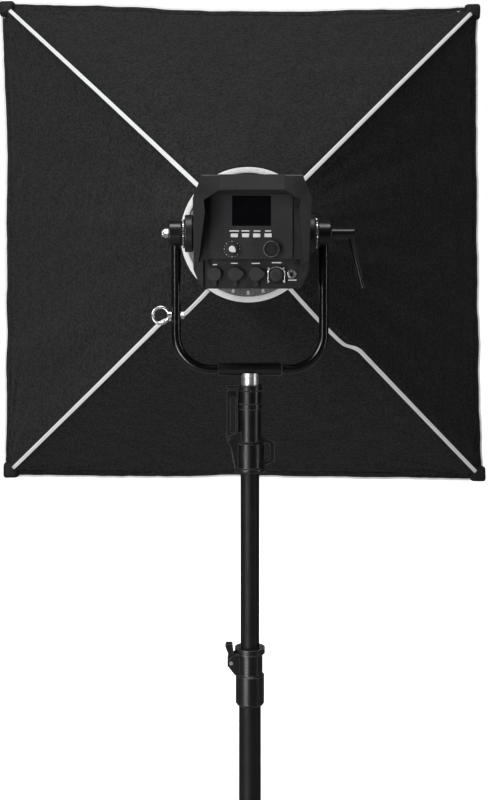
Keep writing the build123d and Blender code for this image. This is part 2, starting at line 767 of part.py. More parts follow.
power_x, power_z = 37.5, port_z - 1
with BuildPart() as power_plate:
    with BuildSketch(rear_plane(connector_face, power_x, power_z)):
        RectangleRounded(29, 26, 3)
        Circle(11, mode=Mode.SUBTRACT)
        with GridLocations(23, 20, 2, 2):
            Circle(1.4, mode=Mode.SUBTRACT)
    extrude(amount=1.6)
power_plate.part.label = "power_plate"
export_step(power_plate.part, "parts/power_plate.step")

with BuildPart() as power_socket:
    with BuildSketch(rear_plane(connector_face + 18, power_x, power_z)):
        Circle(10.9)
    extrude(amount=22)
    with BuildSketch(rear_plane(connector_face - 4, power_x, power_z)):
        Circle(8.5)
        Circle(5, mode=Mode.SUBTRACT)
    extrude(amount=-12, mode=Mode.SUBTRACT)
    with BuildSketch(rear_plane(connector_face - 4, power_x, power_z)):
        with PolarLocations(2.6, 3):
            Circle(1)
    extrude(amount=-9, mode=Mode.SUBTRACT)
power_socket.part.label = "power_socket"
export_step(power_socket.part, "parts/power_socket.step")

control_port_bore = 3.2
with BuildPart() as control_port:
    with BuildSketch(rear_plane(connector_face, 61, port_z)):
        Circle(6.7)
    extrude(amount=2.4)
    fillet(control_port.faces().sort_by(Axis.Y)[0].edges(), 0.8)
    with BuildSketch(rear_plane(connector_face + 10, 61, port_z)):
        Circle(4.95)
    extrude(amount=10)
    with BuildSketch(rear_plane(connector_face - 2.4, 61, port_z)):
        Circle(control_port_bore)
    extrude(amount=-9, mode=Mode.SUBTRACT)
control_port.part.label = "control_port"
export_step(control_port.part, "parts/control_port.step")

with BuildPart() as panel_screws:
    for place in screw_places:
        with BuildSketch(rear_plane(cover_face, *place)):
            Circle(3.4)
        extrude(amount=1.8)
        with BuildSketch(rear_plane(cover_face - 1.8, *place)):
            RegularPolygon(1.6, 6)
        extrude(amount=-1.2, mode=Mode.SUBTRACT)
        with BuildSketch(rear_plane(cover_face + 12, *place)):
            Circle(1.98)
        extrude(amount=12)
panel_screws.part.label = "panel_screws"
export_step(panel_screws.part, "parts/panel_screws.step")

# ---------------------------------------------------------------------------
# Inside the lamp head
# ---------------------------------------------------------------------------
board_y = -94
with BuildPart() as driver_board:
    with BuildSketch(rear_plane(board_y, 0, 5)):
        RectangleRounded(120, 86, 3)
    extrude(amount=1.6)
    with BuildSketch(rear_plane(board_y, 0, 5)):
        with GridLocations(34, 26, 3, 2):
            Rectangle(20, 14)
    extrude(amount=-6)
driver_board.part.label = "driver_board"
export_step(driver_board.part, "parts/driver_board.step")

fan_back, fan_depth, fan_half, fan_bore_r = -66, 25, 46, 43.5
with BuildPart() as fan_frame:
    with BuildSketch(rear_plane(fan_back + fan_depth)):
        RectangleRounded(2 * fan_half, 2 * fan_half, 5)
        Circle(fan_bore_r, mode=Mode.SUBTRACT)
        with GridLocations(82, 82, 2, 2):
            Circle(2.2, mode=Mode.SUBTRACT)
    extrude(amount=fan_depth)
    with BuildSketch(rear_plane(fan_back + 3)):
        Circle(16)
        for spoke_angle in (45, 135):
            Rectangle(2 * fan_bore_r + 1, 4, rotation=spoke_angle)
    extrude(amount=3)
fan_frame.part.label = "fan_frame"
export_step(fan_frame.part, "parts/fan_frame.step")

blade_count, blade_pitch = 7, 35
with BuildPart() as fan_rotor:
    with BuildSketch(rear_plane(fan_back + fan_depth - 3)):
        Circle(15)
    extrude(amount=fan_depth - 7)
    for blade in range(blade_count):
        spoke = Location((0, 0, 0), (0, 0, 360 / blade_count * blade))
        blade_place = spoke * Location((28, 0, 0), (blade_pitch, 0, 0))
        with Locations(Location(rear_plane(fan_back + 13)) * blade_place):
            Box(28, 20, 1.6)
fan_rotor.part.label = "fan_rotor"
export_step(fan_rotor.part, "parts/fan_rotor.step")

sink_back, sink_front, sink_half = -34, 52, 55
with BuildPart() as heat_sink:
    with BuildSketch(rear_plane(sink_front)):
        Rectangle(2 * sink_half, 2 * sink_half)
    extrude(amount=8)
    with BuildSketch(rear_plane(sink_front - 8)):
        with GridLocations(10, 0, 11, 1):
            Rectangle(2.5, 2 * sink_half)
    extrude(amount=sink_front - 8 - sink_back)
heat_sink.part.label = "heat_sink"
export_step(heat_sink.part, "parts/heat_sink.step")

with BuildPart() as led_module:
    with BuildSketch(rear_plane(sink_front + 4)):
        RectangleRounded(56, 56, 3)
    extrude(amount=4)
    with BuildSketch(rear_plane(sink_front + 5.5)):
        Circle(20)
    extrude(amount=1.5)
led_module.part.label = "led_module"
export_step(led_module.part, "parts/led_module.step")

with BuildPart() as glass_cover:
    with BuildSketch(rear_plane(shell_front)):
        Circle(51.8)
    extrude(amount=wall)
glass_cover.part.label = "glass_cover"
export_step(glass_cover.part, "parts/glass_cover.step")

# Front mount of the lamp: a collar that the softbox ring turns on.
flange_r, neck_r, lip_r, throat_r = 78, ring_bore_r - slide_gap, ring_bore_r + 5, 57
neck_front = ring_front + body_gap + 3
with BuildPart() as mount_flange:
    with BuildSketch(rear_plane(shell_front + 6)):
        Circle(flange_r)
        Circle(53, mode=Mode.SUBTRACT)
    extrude(amount=6)
    with BuildSketch(rear_plane(neck_front)):
        Circle(neck_r)
        Circle(throat_r, mode=Mode.SUBTRACT)
    extrude(amount=neck_front - shell_front - 6)
    # A lip in front and a shoulder behind keep the turning ring on the neck.
    for stop_y in (neck_front, ring_back - body_gap):
        with BuildSketch(rear_plane(stop_y)):
            Circle(lip_r)
            Circle(throat_r, mode=Mode.SUBTRACT)
        extrude(amount=3)
mount_flange.part.label = "mount_flange"
export_step(mount_flange.part, "parts/mount_flange.step")

with BuildPart() as mount_latch:
    with BuildSketch(rear_plane(shell_front + 24, -flange_r + 6, 0)):
        RectangleRounded(18, 14, 2)
    extrude(amount=24 - 6 - body_gap)
    fillet(mount_latch.faces().sort_by(Axis.X)[0].edges(), 1)
mount_latch.part.label = "mount_latch"
export_step(mount_latch.part, "parts/mount_latch.step")

# ---------------------------------------------------------------------------
# Softbox
# ---------------------------------------------------------------------------
slot_places = [90, 180, 0] + [270 + step for step in (-15, 0, 15)]
with BuildPart() as speed_ring:
    with BuildSketch(rear_plane(ring_front)):
        Circle(ring_plate_r)
        Circle(ring_bore_r, mode=Mode.SUBTRACT)
        for slot_angle in slot_places:
            with Locations(Location((0, 0, 0), (0, 0, slot_angle))):
                with Locations((98.5, 0)):
                    Rectangle(7, 5, mode=Mode.SUBTRACT)
    extrude(amount=ring_front - ring_back)
speed_ring.part.label = "speed_ring"
export_step(speed_ring.part, "parts/speed_ring.step")

corner_angles = (45, 135, 225, 315)
rod_run = (rod_end[0] - rod_start[0], rod_end[1] - rod_start[1])
rod_length = hypot(*rod_run)


def rod_plane(angle, along):
    """Plane square to the rod towards one corner, at a distance along that rod."""
    reach = rod_start[0] + rod_run[0] * along / rod_length
    depth = rod_start[1] + rod_run[1] * along / rod_length
    place = (reach * cos(radians(angle)), column_y + depth, pivot_z + reach * sin(radians(angle)))
    heading = (rod_run[0] * cos(radians(angle)), rod_run[1], rod_run[0] * sin(radians(angle)))
    return Plane(origin=place, z_dir=heading)


with BuildPart() as rod_sockets:
    for angle in corner_angles:
        with BuildSketch(rod_plane(angle, -12)):
            Circle(7)
        extrude(amount=42)
    with BuildSketch(rear_plane(ring_front)):
        Rectangle(400, 400)
    extrude(amount=60, mode=Mode.SUBTRACT)
    for angle in corner_angles:
        with BuildSketch(rod_plane(angle, 0)):
            Circle(rod_r + 0.02)
        extrude(amount=60, mode=Mode.SUBTRACT)
rod_sockets.part.label = "rod_sockets"
export_step(rod_sockets.part, "parts/rod_sockets.step")

with BuildPart() as support_rods:
    for angle in corner_angles:
        with BuildSketch(rod_plane(angle, 0)):
            Circle(rod_r)
        extrude(amount=rod_length)
support_rods.part.label = "support_rods"
export_step(support_rods.part, "parts/support_rods.step")


def skin_volume(inset):
    """Solid from the round rear opening to the square front, drawn in by an inset."""
    with BuildPart() as volume:
        with BuildSketch(rear_plane(panel_back)):
            RectangleRounded(2 * (collar_r - inset), 2 * (collar_r - inset), collar_r - inset - 1)
        with BuildSketch(rear_plane(panel_front)):
            RectangleRounded(2 * (panel_half - inset), 2 * (panel_half - inset), 6)
        loft(ruled=True)
    return volume.part


skin_outside = skin_volume(0)
skin_inside = skin_volume(panel_thick * 1.22)
seam_gap = 0.15
with BuildPart() as skin_quarter:
    add(skin_outside)
    add(skin_inside, mode=Mode.SUBTRACT)
    with BuildSketch(rear_plane(panel_front + 1)):
        with BuildLine():
            Polyline((0, seam_gap), (800, 800 + seam_gap), (-800, 800 + seam_gap), close=True)
        make_face()
    extrude(amount=panel_front - panel_back + 2, mode=Mode.INTERSECT)

# Four panels, a seam's width apart, around the optical axis.
optical_axis = Axis((0, column_y, pivot_z), (0, 1, 0))
with BuildPart() as fabric_skin:
    for angle in (0, 90, 180, 270):
        add(skin_quarter.part.rotate(optical_axis, angle))
fabric_skin.part.label = "fabric_skin"
export_step(fabric_skin.part, "parts/fabric_skin.step")

with BuildPart() as rear_collar:
    with BuildSketch(rear_plane(panel_back - 0.02)):
        Circle(collar_r)
        Circle(ring_plate_r + 0.02, mode=Mode.SUBTRACT)
    extrude(amount=panel_back - ring_back + 1)
    fillet(rear_collar.faces().sort_by(Axis.Y)[0].edges(), 1.2)
rear_collar.part.label = "rear_collar"
export_step(rear_collar.part, "parts/rear_collar.step")

with BuildPart() as front_binding:
    with BuildSketch(rear_plane(binding_front)):
        for turn in (0, 90, 180, 270):
            with Locations(Location((0, 0, 0), (0, 0, turn))):
                with Locations((0, (binding_outer + binding_inner) / 2)):
                    Rectangle(2 * pocket_inner - 0.2, binding_outer - binding_inner)
    extrude(amount=binding_front - panel_front - 0.05)
front_binding.part.label = "front_binding"
export_step(front_binding.part, "parts/front_binding.step")

pocket_size = pocket_outer - pocket_inner
with BuildPart() as corner_pockets:
    with BuildSketch(rear_plane(softbox_front)):
        with GridLocations(pocket_inner + pocket_outer, pocket_inner + pocket_outer, 2, 2):
            RectangleRounded(pocket_size, pocket_size, 7)
    extrude(amount=softbox_front - panel_front - 0.05)
    fillet(corner_pockets.faces().sort_by(Axis.Y)[-4:].edges(), 4)
corner_pockets.part.label = "corner_pockets"
export_step(corner_pockets.part, "parts/corner_pockets.step")

for sheet_name, sheet_y, half, cut in (
    ("front_diffuser", diffuser_y, diffuser_half, diffuser_cut),
    ("inner_baffle", baffle_y, baffle_half, baffle_cut),
):
    with BuildPart() as diffuser:
        with BuildSketch(rear_plane(sheet_y + 2)) as diffuser_face:
            Rectangle(2 * half, 2 * half)
            chamfer(diffuser_face.vertices(), cut)
        extrude(amount=2)
    diffuser.part.label = sheet_name
    export_step(diffuser.part, f"parts/{sheet_name}.step")
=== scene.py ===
from math import atan2, cos, exp, hypot, pi, radians, sin, sqrt

import bmesh
import bpy
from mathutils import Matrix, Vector, noise


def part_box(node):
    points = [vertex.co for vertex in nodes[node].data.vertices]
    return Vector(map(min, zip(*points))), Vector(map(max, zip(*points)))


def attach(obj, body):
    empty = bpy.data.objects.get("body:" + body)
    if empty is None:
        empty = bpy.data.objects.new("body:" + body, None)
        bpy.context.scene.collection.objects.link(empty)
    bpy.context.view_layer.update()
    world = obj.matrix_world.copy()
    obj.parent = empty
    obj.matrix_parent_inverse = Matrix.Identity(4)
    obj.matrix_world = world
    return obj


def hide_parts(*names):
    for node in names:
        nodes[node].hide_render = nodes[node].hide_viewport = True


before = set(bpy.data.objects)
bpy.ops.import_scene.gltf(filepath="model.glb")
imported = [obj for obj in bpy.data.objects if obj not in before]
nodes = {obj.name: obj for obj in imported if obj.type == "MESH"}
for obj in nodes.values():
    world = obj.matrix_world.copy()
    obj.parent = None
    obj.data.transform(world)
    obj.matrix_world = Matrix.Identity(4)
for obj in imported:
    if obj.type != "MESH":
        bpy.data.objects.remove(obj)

for start_object in ("Cube", "Light", "Camera"):
    if start_object in bpy.data.objects:
        bpy.data.objects.remove(bpy.data.objects[start_object])
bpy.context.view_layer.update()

# ---- Places, all read from the frame. Metres, +Z up, +Y the way the softbox faces.
skin_low, skin_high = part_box("fabric_skin")
collar_low, collar_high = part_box("rear_collar")
diffuser_low, diffuser_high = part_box("front_diffuser")
baffle_low, baffle_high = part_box("inner_baffle")
AXIS_Z = (skin_low.z + skin_high.z) / 2            # height of the optical axis
HALF = (skin_high.x - skin_low.x) / 2              # half the front opening
REAR_Y = skin_low.y
DEPTH = skin_high.y - REAR_Y
RING_R = (collar_high.x - collar_low.x) / 2 - 0.002  # where the cloth starts at the ring
LEAN = hypot(DEPTH, HALF - RING_R)                 # a panel's length from ring to front
OUT, BACK = DEPTH / LEAN, (HALF - RING_R) / LEAN   # its outward normal: off the axis, backwards
MM = 0.001


def at(x, y, z):
    """Point with x and z from the optical axis and y an absolute place."""
    return Vector((x, y, AXIS_Z + z))


# ---- Camera, light and floor
CAMERA_PLACE = (-0.0438, -2.258, AXIS_Z - 0.0456)  # level, behind the lamp, a little left and low
CAMERA_SHIFT = (0.0268, -0.1725)                   # the photograph is framed down to the stand
ROOM_STRENGTH = 0.04
ROOM_SLOPES = (("X", -0.02), ("Z", 0.015))
FLOOR_HALF = 40


def make_camera():
    data = bpy.data.cameras.new("camera")
    data.lens = 57.24
    data.sensor_width = 36
    data.shift_x, data.shift_y = CAMERA_SHIFT
    camera = bpy.data.objects.new("camera", data)
    camera.location = CAMERA_PLACE
    camera.rotation_euler = (pi / 2, 0, 0)
    bpy.context.scene.collection.objects.link(camera)
    bpy.context.scene.camera = camera


def area_light(name, place, target, size, power):
    data = bpy.data.lights.new(name, "AREA")
    data.shape = "RECTANGLE"
    data.size, data.size_y = size
    data.energy = power
    light = bpy.data.objects.new(name, data)
    light.location = place
    light.rotation_euler = (Vector(target) - Vector(place)).to_track_quat("-Z", "Y").to_euler()
    bpy.context.scene.collection.objects.link(light)


def add_node(tree, kind, **values):
    """Shader node whose attributes or input sockets take the given values."""
    made = tree.nodes.new("ShaderNode" + kind)
    for key, value in values.items():
        if hasattr(made, key):
            setattr(made, key, value)
        else:
            made.inputs[key.replace("_", " ")].default_value = value
    return made


def shown_to_camera(tree, seen, met, surface):
    """Shows the camera one shader, while every other ray meets another."""
    rays, mix = add_node(tree, "LightPath"), add_node(tree, "MixShader")
    tree.links.new(rays.outputs["Is Camera Ray"], mix.inputs[0])
    tree.links.new(met.outputs[0], mix.inputs[1])
    tree.links.new(seen.outputs[0], mix.inputs[2])
    tree.links.new(mix.outputs[0], surface)


def make_world():
    """White behind the object, and a soft room that is brighter above and on the left."""
    world = bpy.data.worlds.new("studio")
    bpy.context.scene.world = world
    world.use_nodes = True
    tree = world.node_tree
    tree.nodes.clear()
    coords, split = add_node(tree, "TexCoord"), add_node(tree, "SeparateXYZ")
    tree.links.new(coords.outputs["Generated"], split.inputs[0])
    strength = None
    for axis, slope in ROOM_SLOPES:
        part = add_node(tree, "Math", operation="MULTIPLY_ADD")
        part.inputs[1].default_value = slope
        part.inputs[2].default_value = ROOM_STRENGTH
        tree.links.new(split.outputs[axis], part.inputs[0])
        if strength:
            tree.links.new(strength, part.inputs[2])
        strength = part.outputs[0]
    room, white = [add_node(tree, "Background", Color=(1, 1, 1, 1)) for _ in range(2)]
    tree.links.new(strength, room.inputs["Strength"])
    shown_to_camera(tree, white, room, add_node(tree, "OutputWorld").inputs["Surface"])


def make_floor():
    """Pale paper floor that fades to white away from the object."""
    mesh = bpy.data.meshes.new("studio_floor")
    corners = [(x * FLOOR_HALF, y * FLOOR_HALF, 0) for x, y in ((-1, -1), (1, -1), (1, 1), (-1, 1))]
    mesh.from_pydata(corners, [], [(0, 1, 2, 3)])
    floor = bpy.data.objects.new("studio_floor", mesh)
    bpy.context.scene.collection.objects.link(floor)
    paint = bpy.data.materials.new("pale_floor")
    paint.use_nodes = True
    tree = paint.node_tree
    shader = tree.nodes["Principled BSDF"]
    shader.inputs["Base Color"].default_value = (0.86, 0.86, 0.86, 1)
    shader.inputs["Roughness"].default_value = 0.9
    shader.inputs["Emission Color"].default_value = (1, 1, 1, 1)
    coords, away = add_node(tree, "TexCoord"), add_node(tree, "VectorMath", operation="LENGTH")
    glow = add_node(tree, "MapRange", From_Min=1.0, From_Max=3.2, To_Min=0.72, To_Max=1.05)
    tree.links.new(coords.outputs["Object"], away.inputs[0])
    tree.links.new(away.outputs["Value"], glow.inputs["Value"])
    tree.links.new(glow.outputs["Result"], shader.inputs["Emission Strength"])
    bounce = add_node(tree, "BsdfDiffuse", Color=(0.34, 0.34, 0.34, 1))
    shown_to_camera(tree, shader, bounce, tree.nodes["Material Output"].inputs["Surface"])
    mesh.materials.append(paint)


make_camera()
make_world()
make_floor()
bpy.context.scene.view_settings.view_transform = "Standard"
# name, place, target, size and power in watts
area_light("key_light", (-3.4, -3.2, 3.0), (0, 0, 1.6), (1.8, 1.8), 88)
area_light("top_light", (-0.3, -1.2, 4.8), (0, 0.2, 1.7), (2.4, 1.4), 75)
area_light("low_light", (-1.7, -2.8, 0.25), (-0.1, 0.1, 1.4), (1.6, 0.8), 36)
area_light("left_strip", (-2.0, -2.9, 1.6), (0, -0.25, 1.5), (0.10, 2.6), 20)
area_light("right_strip", (2.9, -1.5, 1.6), (0, -0.25, 1.5), (0.09, 2.6), 14)
area_light("front_light", (1.2, 5.0, 3.2), (0, 0.4, 1.4), (2.5, 2.5), 90)

# ---- Materials
def grey(level):
    return (level, level, level)


class Material:
    """A Principled material with short ways to add texture nodes."""

    def __init__(self, name, colour, rough, metal=0.0):
        self.mat = bpy.data.materials.new(name)
        self.mat.use_nodes = True
        self.tree = self.mat.node_tree
        self.shader = self.tree.nodes["Principled BSDF"]
        self.set("Base Color", (*colour, 1.0))
        self.set("Roughness", rough)
        self.set("Metallic", metal)
        self.coords = self.node("TexCoord")

    def set(self, socket, value):
        self.shader.inputs[socket].default_value = value

    def link(self, a, b):
        self.tree.links.new(a, b)

    def node(self, kind, **values):
        return add_node(self.tree, kind, **values)

    def maths(self, operation, *values):
        """Result of a sum on sockets or numbers."""
        made = self.node("Math", operation=operation)
        for socket, value in zip(made.inputs, values):
            if isinstance(value, bpy.types.NodeSocket):
                self.link(value, socket)
            else:
                socket.default_value = value
        return made.outputs[0]

    def noise(self, scale, detail=3.0, stretch=(1, 1, 1)):
        mapping = self.node("Mapping", Scale=stretch)
        texture = self.node("TexNoise", Scale=scale, Detail=detail)
        self.link(self.coords.outputs["Object"], mapping.inputs["Vector"])
        self.link(mapping.outputs["Vector"], texture.inputs["Vector"])
        return texture.outputs["Fac"]

    def voronoi(self, scale):
        texture = self.node("TexVoronoi", Scale=scale)
        self.link(self.coords.outputs["Object"], texture.inputs["Vector"])
        return texture.outputs["Distance"]

    def weave(self, pitch):
        """Height of a plain weave of threads a pitch apart, in all three directions."""
        split = self.node("SeparateXYZ")
        self.link(self.coords.outputs["Object"], split.inputs["Vector"])
        x, y, z = [
            self.maths("SINE", self.maths("MULTIPLY", split.outputs[axis], 2 * pi / pitch)) for axis in "XYZ"
        ]
        return self.maths("ADD", self.maths("MULTIPLY", x, z), y)

    def ramp(self, source, low, high, start=0.3, stop=0.7):
        """Maps a grey source between two values."""
        ranged = self.node("MapRange", From_Min=start, From_Max=stop, To_Min=low, To_Max=high)
        self.link(source, ranged.inputs["Value"])
        return ranged.outputs["Result"]

    def mixed_colour(self, first, second, amount):
        """Base colour between two, each given as a colour or as a socket that holds one."""
        mix = self.node("Mix", data_type="RGBA")
        for socket, colour in zip([s for s in mix.inputs if s.type == "RGBA"], (first, second)):
            if isinstance(colour, bpy.types.NodeSocket):
                self.link(colour, socket)
            else:
                socket.default_value = (*colour, 1.0)
        self.link(amount, mix.inputs["Factor"])
        result = [s for s in mix.outputs if s.type == "RGBA"][0]
        self.link(result, self.shader.inputs["Base Color"])

    def colours(self, source, dark, light, start=0.3, stop=0.7):
        """Base colour that wanders between two colours."""
        self.mixed_colour(dark, light, self.ramp(source, 0.0, 1.0, start, stop))

    def bump(self, *layers):
        """Adds bump layers, each (height source, distance in metres)."""
        previous = None
        for source, distance in layers:
            bump = self.node("Bump", Distance=distance, Strength=1.0)
            self.link(source, bump.inputs["Height"])
            if previous is not None:
                self.link(previous, bump.inputs["Normal"])
            previous = bump.outputs["Normal"]
        self.link(previous, self.shader.inputs["Normal"])

    def rim(self, level):
        """Painted edge highlight: the more a rounded normal leaves the true one, the lighter the base
        colour, standing in for light caught on the edges.
        """
        rounded_normal = self.node("Bevel", Radius=0.0011)
        true_normal = self.node("NewGeometry")
        match = self.node("VectorMath", operation="DOT_PRODUCT")
        self.link(rounded_normal.outputs["Normal"], match.inputs[0])
        self.link(true_normal.outputs["Normal"], match.inputs[1])
        painted_edge_highlight = self.ramp(match.outputs["Value"], 1.0, 0.0, 0.80, 0.985)
        self.mixed_colour(self.shader.inputs["Base Color"].links[0].from_socket, grey(level), painted_edge_highlight)

    def roughness(self, source, low, high):
        self.link(self.ramp(source, low, high), self.shader.inputs["Roughness"])


def fabric(name, dark, light, pitch, sheen, rough=0.85, slub=1100, folds=0.002, glow=0.0):
    """Woven cloth: thread weave, fuzz, uneven slubs in the yarn, soft folds and sheen, with an optional glow
    that is painted brightness, not a lamp.
    """
    m = Material(name, light, rough)
    m.colours(m.noise(slub, 4), dark, light, 0.4, 0.6)
    m.bump((m.weave(pitch), 0.00012), (m.noise(900, 3), 0.0003), (m.noise(22, 3), folds))
    # the glow is painted brightness: emission that makes white cloth read brighter than its lighting does
    m.set("Emission Color", (1, 1, 1, 1))
    m.set("Emission Strength", glow)
    m.set("Sheen Weight", sheen)
    m.set("Sheen Roughness", 0.45)
    m.set("Specular IOR Level", 0.25)
    return m.mat


def coated_metal(name, dark, light, rough=0.42, grain=0.00006, scuffs=0.12, gloss=0.55, rim=0.0):
    """Powder-coated steel or casting: orange peel, faint scuffs in the gloss."""
    m = Material(name, light, rough, 0.0)
    m.colours(m.noise(35, 4), dark, light)
    m.bump((m.noise(1500, 2), grain), (m.noise(260, 2), grain * 1.5))
    m.roughness(m.noise(60, 5), rough - scuffs, rough + scuffs)
    m.set("Specular IOR Level", gloss)
    # optional painted edge highlight: a lighter base colour on the edges, standing in for light caught on
    # them
    if rim:
        m.rim(rim)
    return m.mat


def moulded_plastic(name, dark, light, rough=0.5, texture=1100, depth=0.00009):
    """Spark-eroded moulded plastic with fine leather-like pits."""
    m = Material(name, light, rough)
    m.colours(m.noise(18, 4), dark, light)
    m.bump((m.voronoi(texture), depth), (m.noise(texture * 1.7, 2), depth))
    m.roughness(m.noise(45, 4), rough - 0.08, rough + 0.1)
    return m.mat


def bare_metal(name, colour, rough, stretch, scratch=0.00002):
    """Bright metal with brushing along one direction."""
    m = Material(name, colour, rough, 1.0)
    brushed = m.noise(900, 3, stretch)
    m.bump((brushed, scratch))
    m.roughness(m.noise(300, 3, stretch), rough * 0.75, rough * 1.4)
    return m.mat


def soft_rubber(name, dark, light):
    m = Material(name, light, 0.62)
    m.colours(m.noise(80, 3), dark, light)
    m.bump((m.noise(1200, 2), 0.00008))
    m.roughness(m.noise(40, 3), 0.55, 0.75)
    return m.mat


def cast_grain(name, dark, light):
    """Grey die-cast ring with visible speckle."""
    m = Material(name, light, 0.5, 0.75)
    m.colours(m.noise(420, 3), dark, light, 0.35, 0.65)
    m.bump((m.noise(700, 2), 0.00012))
    m.roughness(m.noise(200, 3), 0.38, 0.62)
    return m.mat


def screen_glass(name):
    m = Material(name, (0.002, 0.002, 0.003), 0.16)
    m.bump((m.noise(60, 2), 0.00001))
    m.roughness(m.noise(90, 3), 0.1, 0.24)
    m.set("Specular IOR Level", 0.35)
    return m.mat


def clear_glass(name):
    m = Material(name, (0.95, 0.97, 0.98), 0.03)
    m.set("Transmission Weight", 0.9)
    m.set("IOR", 1.5)
    m.roughness(m.noise(30, 2), 0.02, 0.06)
    return m.mat


def phosphor(name):
    m = Material(name, (0.85, 0.68, 0.16), 0.45)
    m.colours(m.noise(400, 2), (0.8, 0.6, 0.12), (0.92, 0.78, 0.25))
    m.bump((m.voronoi(900), 0.0001))
    return m.mat


def circuit_board(name):
    m = Material(name, (0.02, 0.13, 0.06), 0.4)
    m.colours(m.voronoi(220), (0.01, 0.07, 0.03), (0.04, 0.2, 0.09))
    m.bump((m.voronoi(220), 0.0002))
    return m.mat


SKIN = fabric(
    "black_oxford", (0.0035, 0.0035, 0.0037), (0.0255, 0.0255, 0.026), 0.0011, 0.04, slub=230, folds=0.006)
LINING = fabric("silver_lining", (0.55, 0.56, 0.57), (0.72, 0.73, 0.74), 0.0014, 0.1, rough=0.5)
# white webbing and piping carry a painted glow (emission 0.2 and 0.22) that makes them brighter than the
# lamps alone would
BINDING = fabric("white_webbing", (0.62, 0.62, 0.61), (0.74, 0.74, 0.73), 0.0016, 0.08, glow=0.2)
PIPING = fabric("white_piping", (0.6, 0.61, 0.61), (0.7, 0.71, 0.71), 0.0012, 0.08, glow=0.22)
DIFFUSER = fabric("diffuser_cloth", (0.8, 0.8, 0.79), (0.9, 0.9, 0.89), 0.0009, 0.15)
BLACK_TAPE = fabric("black_hook_tape", grey(0.008), grey(0.022), 0.0018, 0.08)
THREAD = fabric("black_thread", grey(0.02), grey(0.05), 0.0006, 0.1)
POCKET = fabric("pocket_webbing", grey(0.006), grey(0.016), 0.0022, 0.03, rough=0.6)
STEEL = coated_metal(
    "black_gloss_coat", (0.0012, 0.0012, 0.0013), (0.003, 0.003, 0.0032), 0.2, 0.000004, 0.02)
COLUMN = coated_metal(
    "black_satin_coat", (0.0025, 0.0025, 0.0026), (0.006, 0.006, 0.0062), 0.5, 0.00001, 0.05, gloss=0.3)
# the casting's edges carry a painted highlight (rim 0.22): a lighter base colour where light would catch
# them
CASTING = coated_metal(
    "black_casting", (0.0015, 0.0015, 0.0016), (0.0045, 0.0045, 0.0047), 0.32, 0.000012, 0.05, rim=0.22)
SCREW_BLACK = coated_metal("black_screw", grey(0.0006), grey(0.0015), 0.5, 0.00001, 0.05)
SHELL = moulded_plastic("shell_plastic", (0.009, 0.009, 0.0093), (0.018, 0.018, 0.0186), 0.44)
PANEL = moulded_plastic("panel_plastic", (0.011, 0.011, 0.0114), (0.022, 0.022, 0.0226), 0.55, 1500, 0.00006)
PLATE = moulded_plastic(
    "handle_plate_plastic", (0.015, 0.015, 0.0155), (0.026, 0.026, 0.027), 0.6, 900, 0.00012)
SOCKET = moulded_plastic("socket_plastic", grey(0.006), grey(0.014), 0.42, 1500, 0.00004)
# grey metal for the right knob's ring: a painted highlight standing in for light on the knob's chamfered
# edge
KNOB_HIGHLIGHT_RING = bare_metal("knob_highlight_metal", grey(0.42), 0.34, (1, 1, 1))
GOLD = bare_metal("contact_gold", (0.8, 0.6, 0.25), 0.25, (1, 1, 0.2))
KNOB = moulded_plastic("knob_plastic", grey(0.012), grey(0.024), 0.4, 1600, 0.00004)
DIAL = moulded_plastic("dial_plastic", grey(0.02), grey(0.04), 0.45, 1600, 0.00004)
WHITE = moulded_plastic("white_print", (0.78, 0.78, 0.77), (0.88, 0.88, 0.87), 0.45, 1800, 0.00003)
RUBBER = soft_rubber("black_rubber", grey(0.014), (0.03, 0.03, 0.031))
CHROME = bare_metal("bright_chrome", (0.86, 0.86, 0.87), 0.27, (1, 1, 1), 0.000004)
TURNED = bare_metal("turned_chrome", (0.88, 0.88, 0.89), 0.33, (0.04, 0.04, 1), 0.000004)
BRIGHT = bare_metal("bright_zinc", (0.6, 0.6, 0.61), 0.28, (0.1, 1, 1), 0.000008)
ROD = bare_metal("rod_steel", (0.4, 0.41, 0.42), 0.32, (1, 0.05, 1))
SINK = bare_metal("sink_aluminium", (0.66, 0.67, 0.68), 0.36, (1, 0.1, 1))
RING = cast_grain("cast_ring", (0.16, 0.16, 0.165), (0.36, 0.36, 0.37))
SCREEN = screen_glass("screen_glass")
GLASS = clear_glass("clear_glass")
PHOSPHOR = phosphor("led_phosphor")
BOARD = circuit_board("board_green")


def dress(material, names):
    """Gives CAD nodes their finished material."""
    for name in names.split():
        for material_slot in nodes[name].material_slots:
            material_slot.material = material


dress(STEEL, "yoke_tube")
dress(COLUMN, "base_column hub_collars front_leg left_leg right_leg riser_tube")
dress(CASTING, "clamp_collar clamp_lever receiver receiver_lever")
dress(CASTING, "yoke_hubs yoke_sleeve tilt_lever mount_flange")
dress(SHELL, "body_shell rear_cover carry_handle mount_latch fan_frame fan_rotor")
dress(PANEL, "control_panel")
dress(KNOB, "right_knob")
dress(DIAL, "left_dial")
dress(WHITE, "button_1 button_2 button_3 button_4")
dress(RUBBER, "front_foot left_foot right_foot usb_cap data_in_cap data_out_cap")
dress(CHROME, "eye_bolt control_port")
dress(TURNED, "spigot")
dress(SOCKET, "power_plate power_socket port_sockets friction_discs")
dress(SCREW_BLACK, "panel_screws receiver_pin")
dress(BRIGHT, "clamp_pin pivot_bolt yoke_nuts")
dress(ROD, "support_rods")
dress(RING, "speed_ring rod_sockets")
dress(SINK, "heat_sink")
dress(SCREEN, "display_window")
dress(GLASS, "glass_cover")
dress(PHOSPHOR, "led_module")
dress(BOARD, "driver_board")


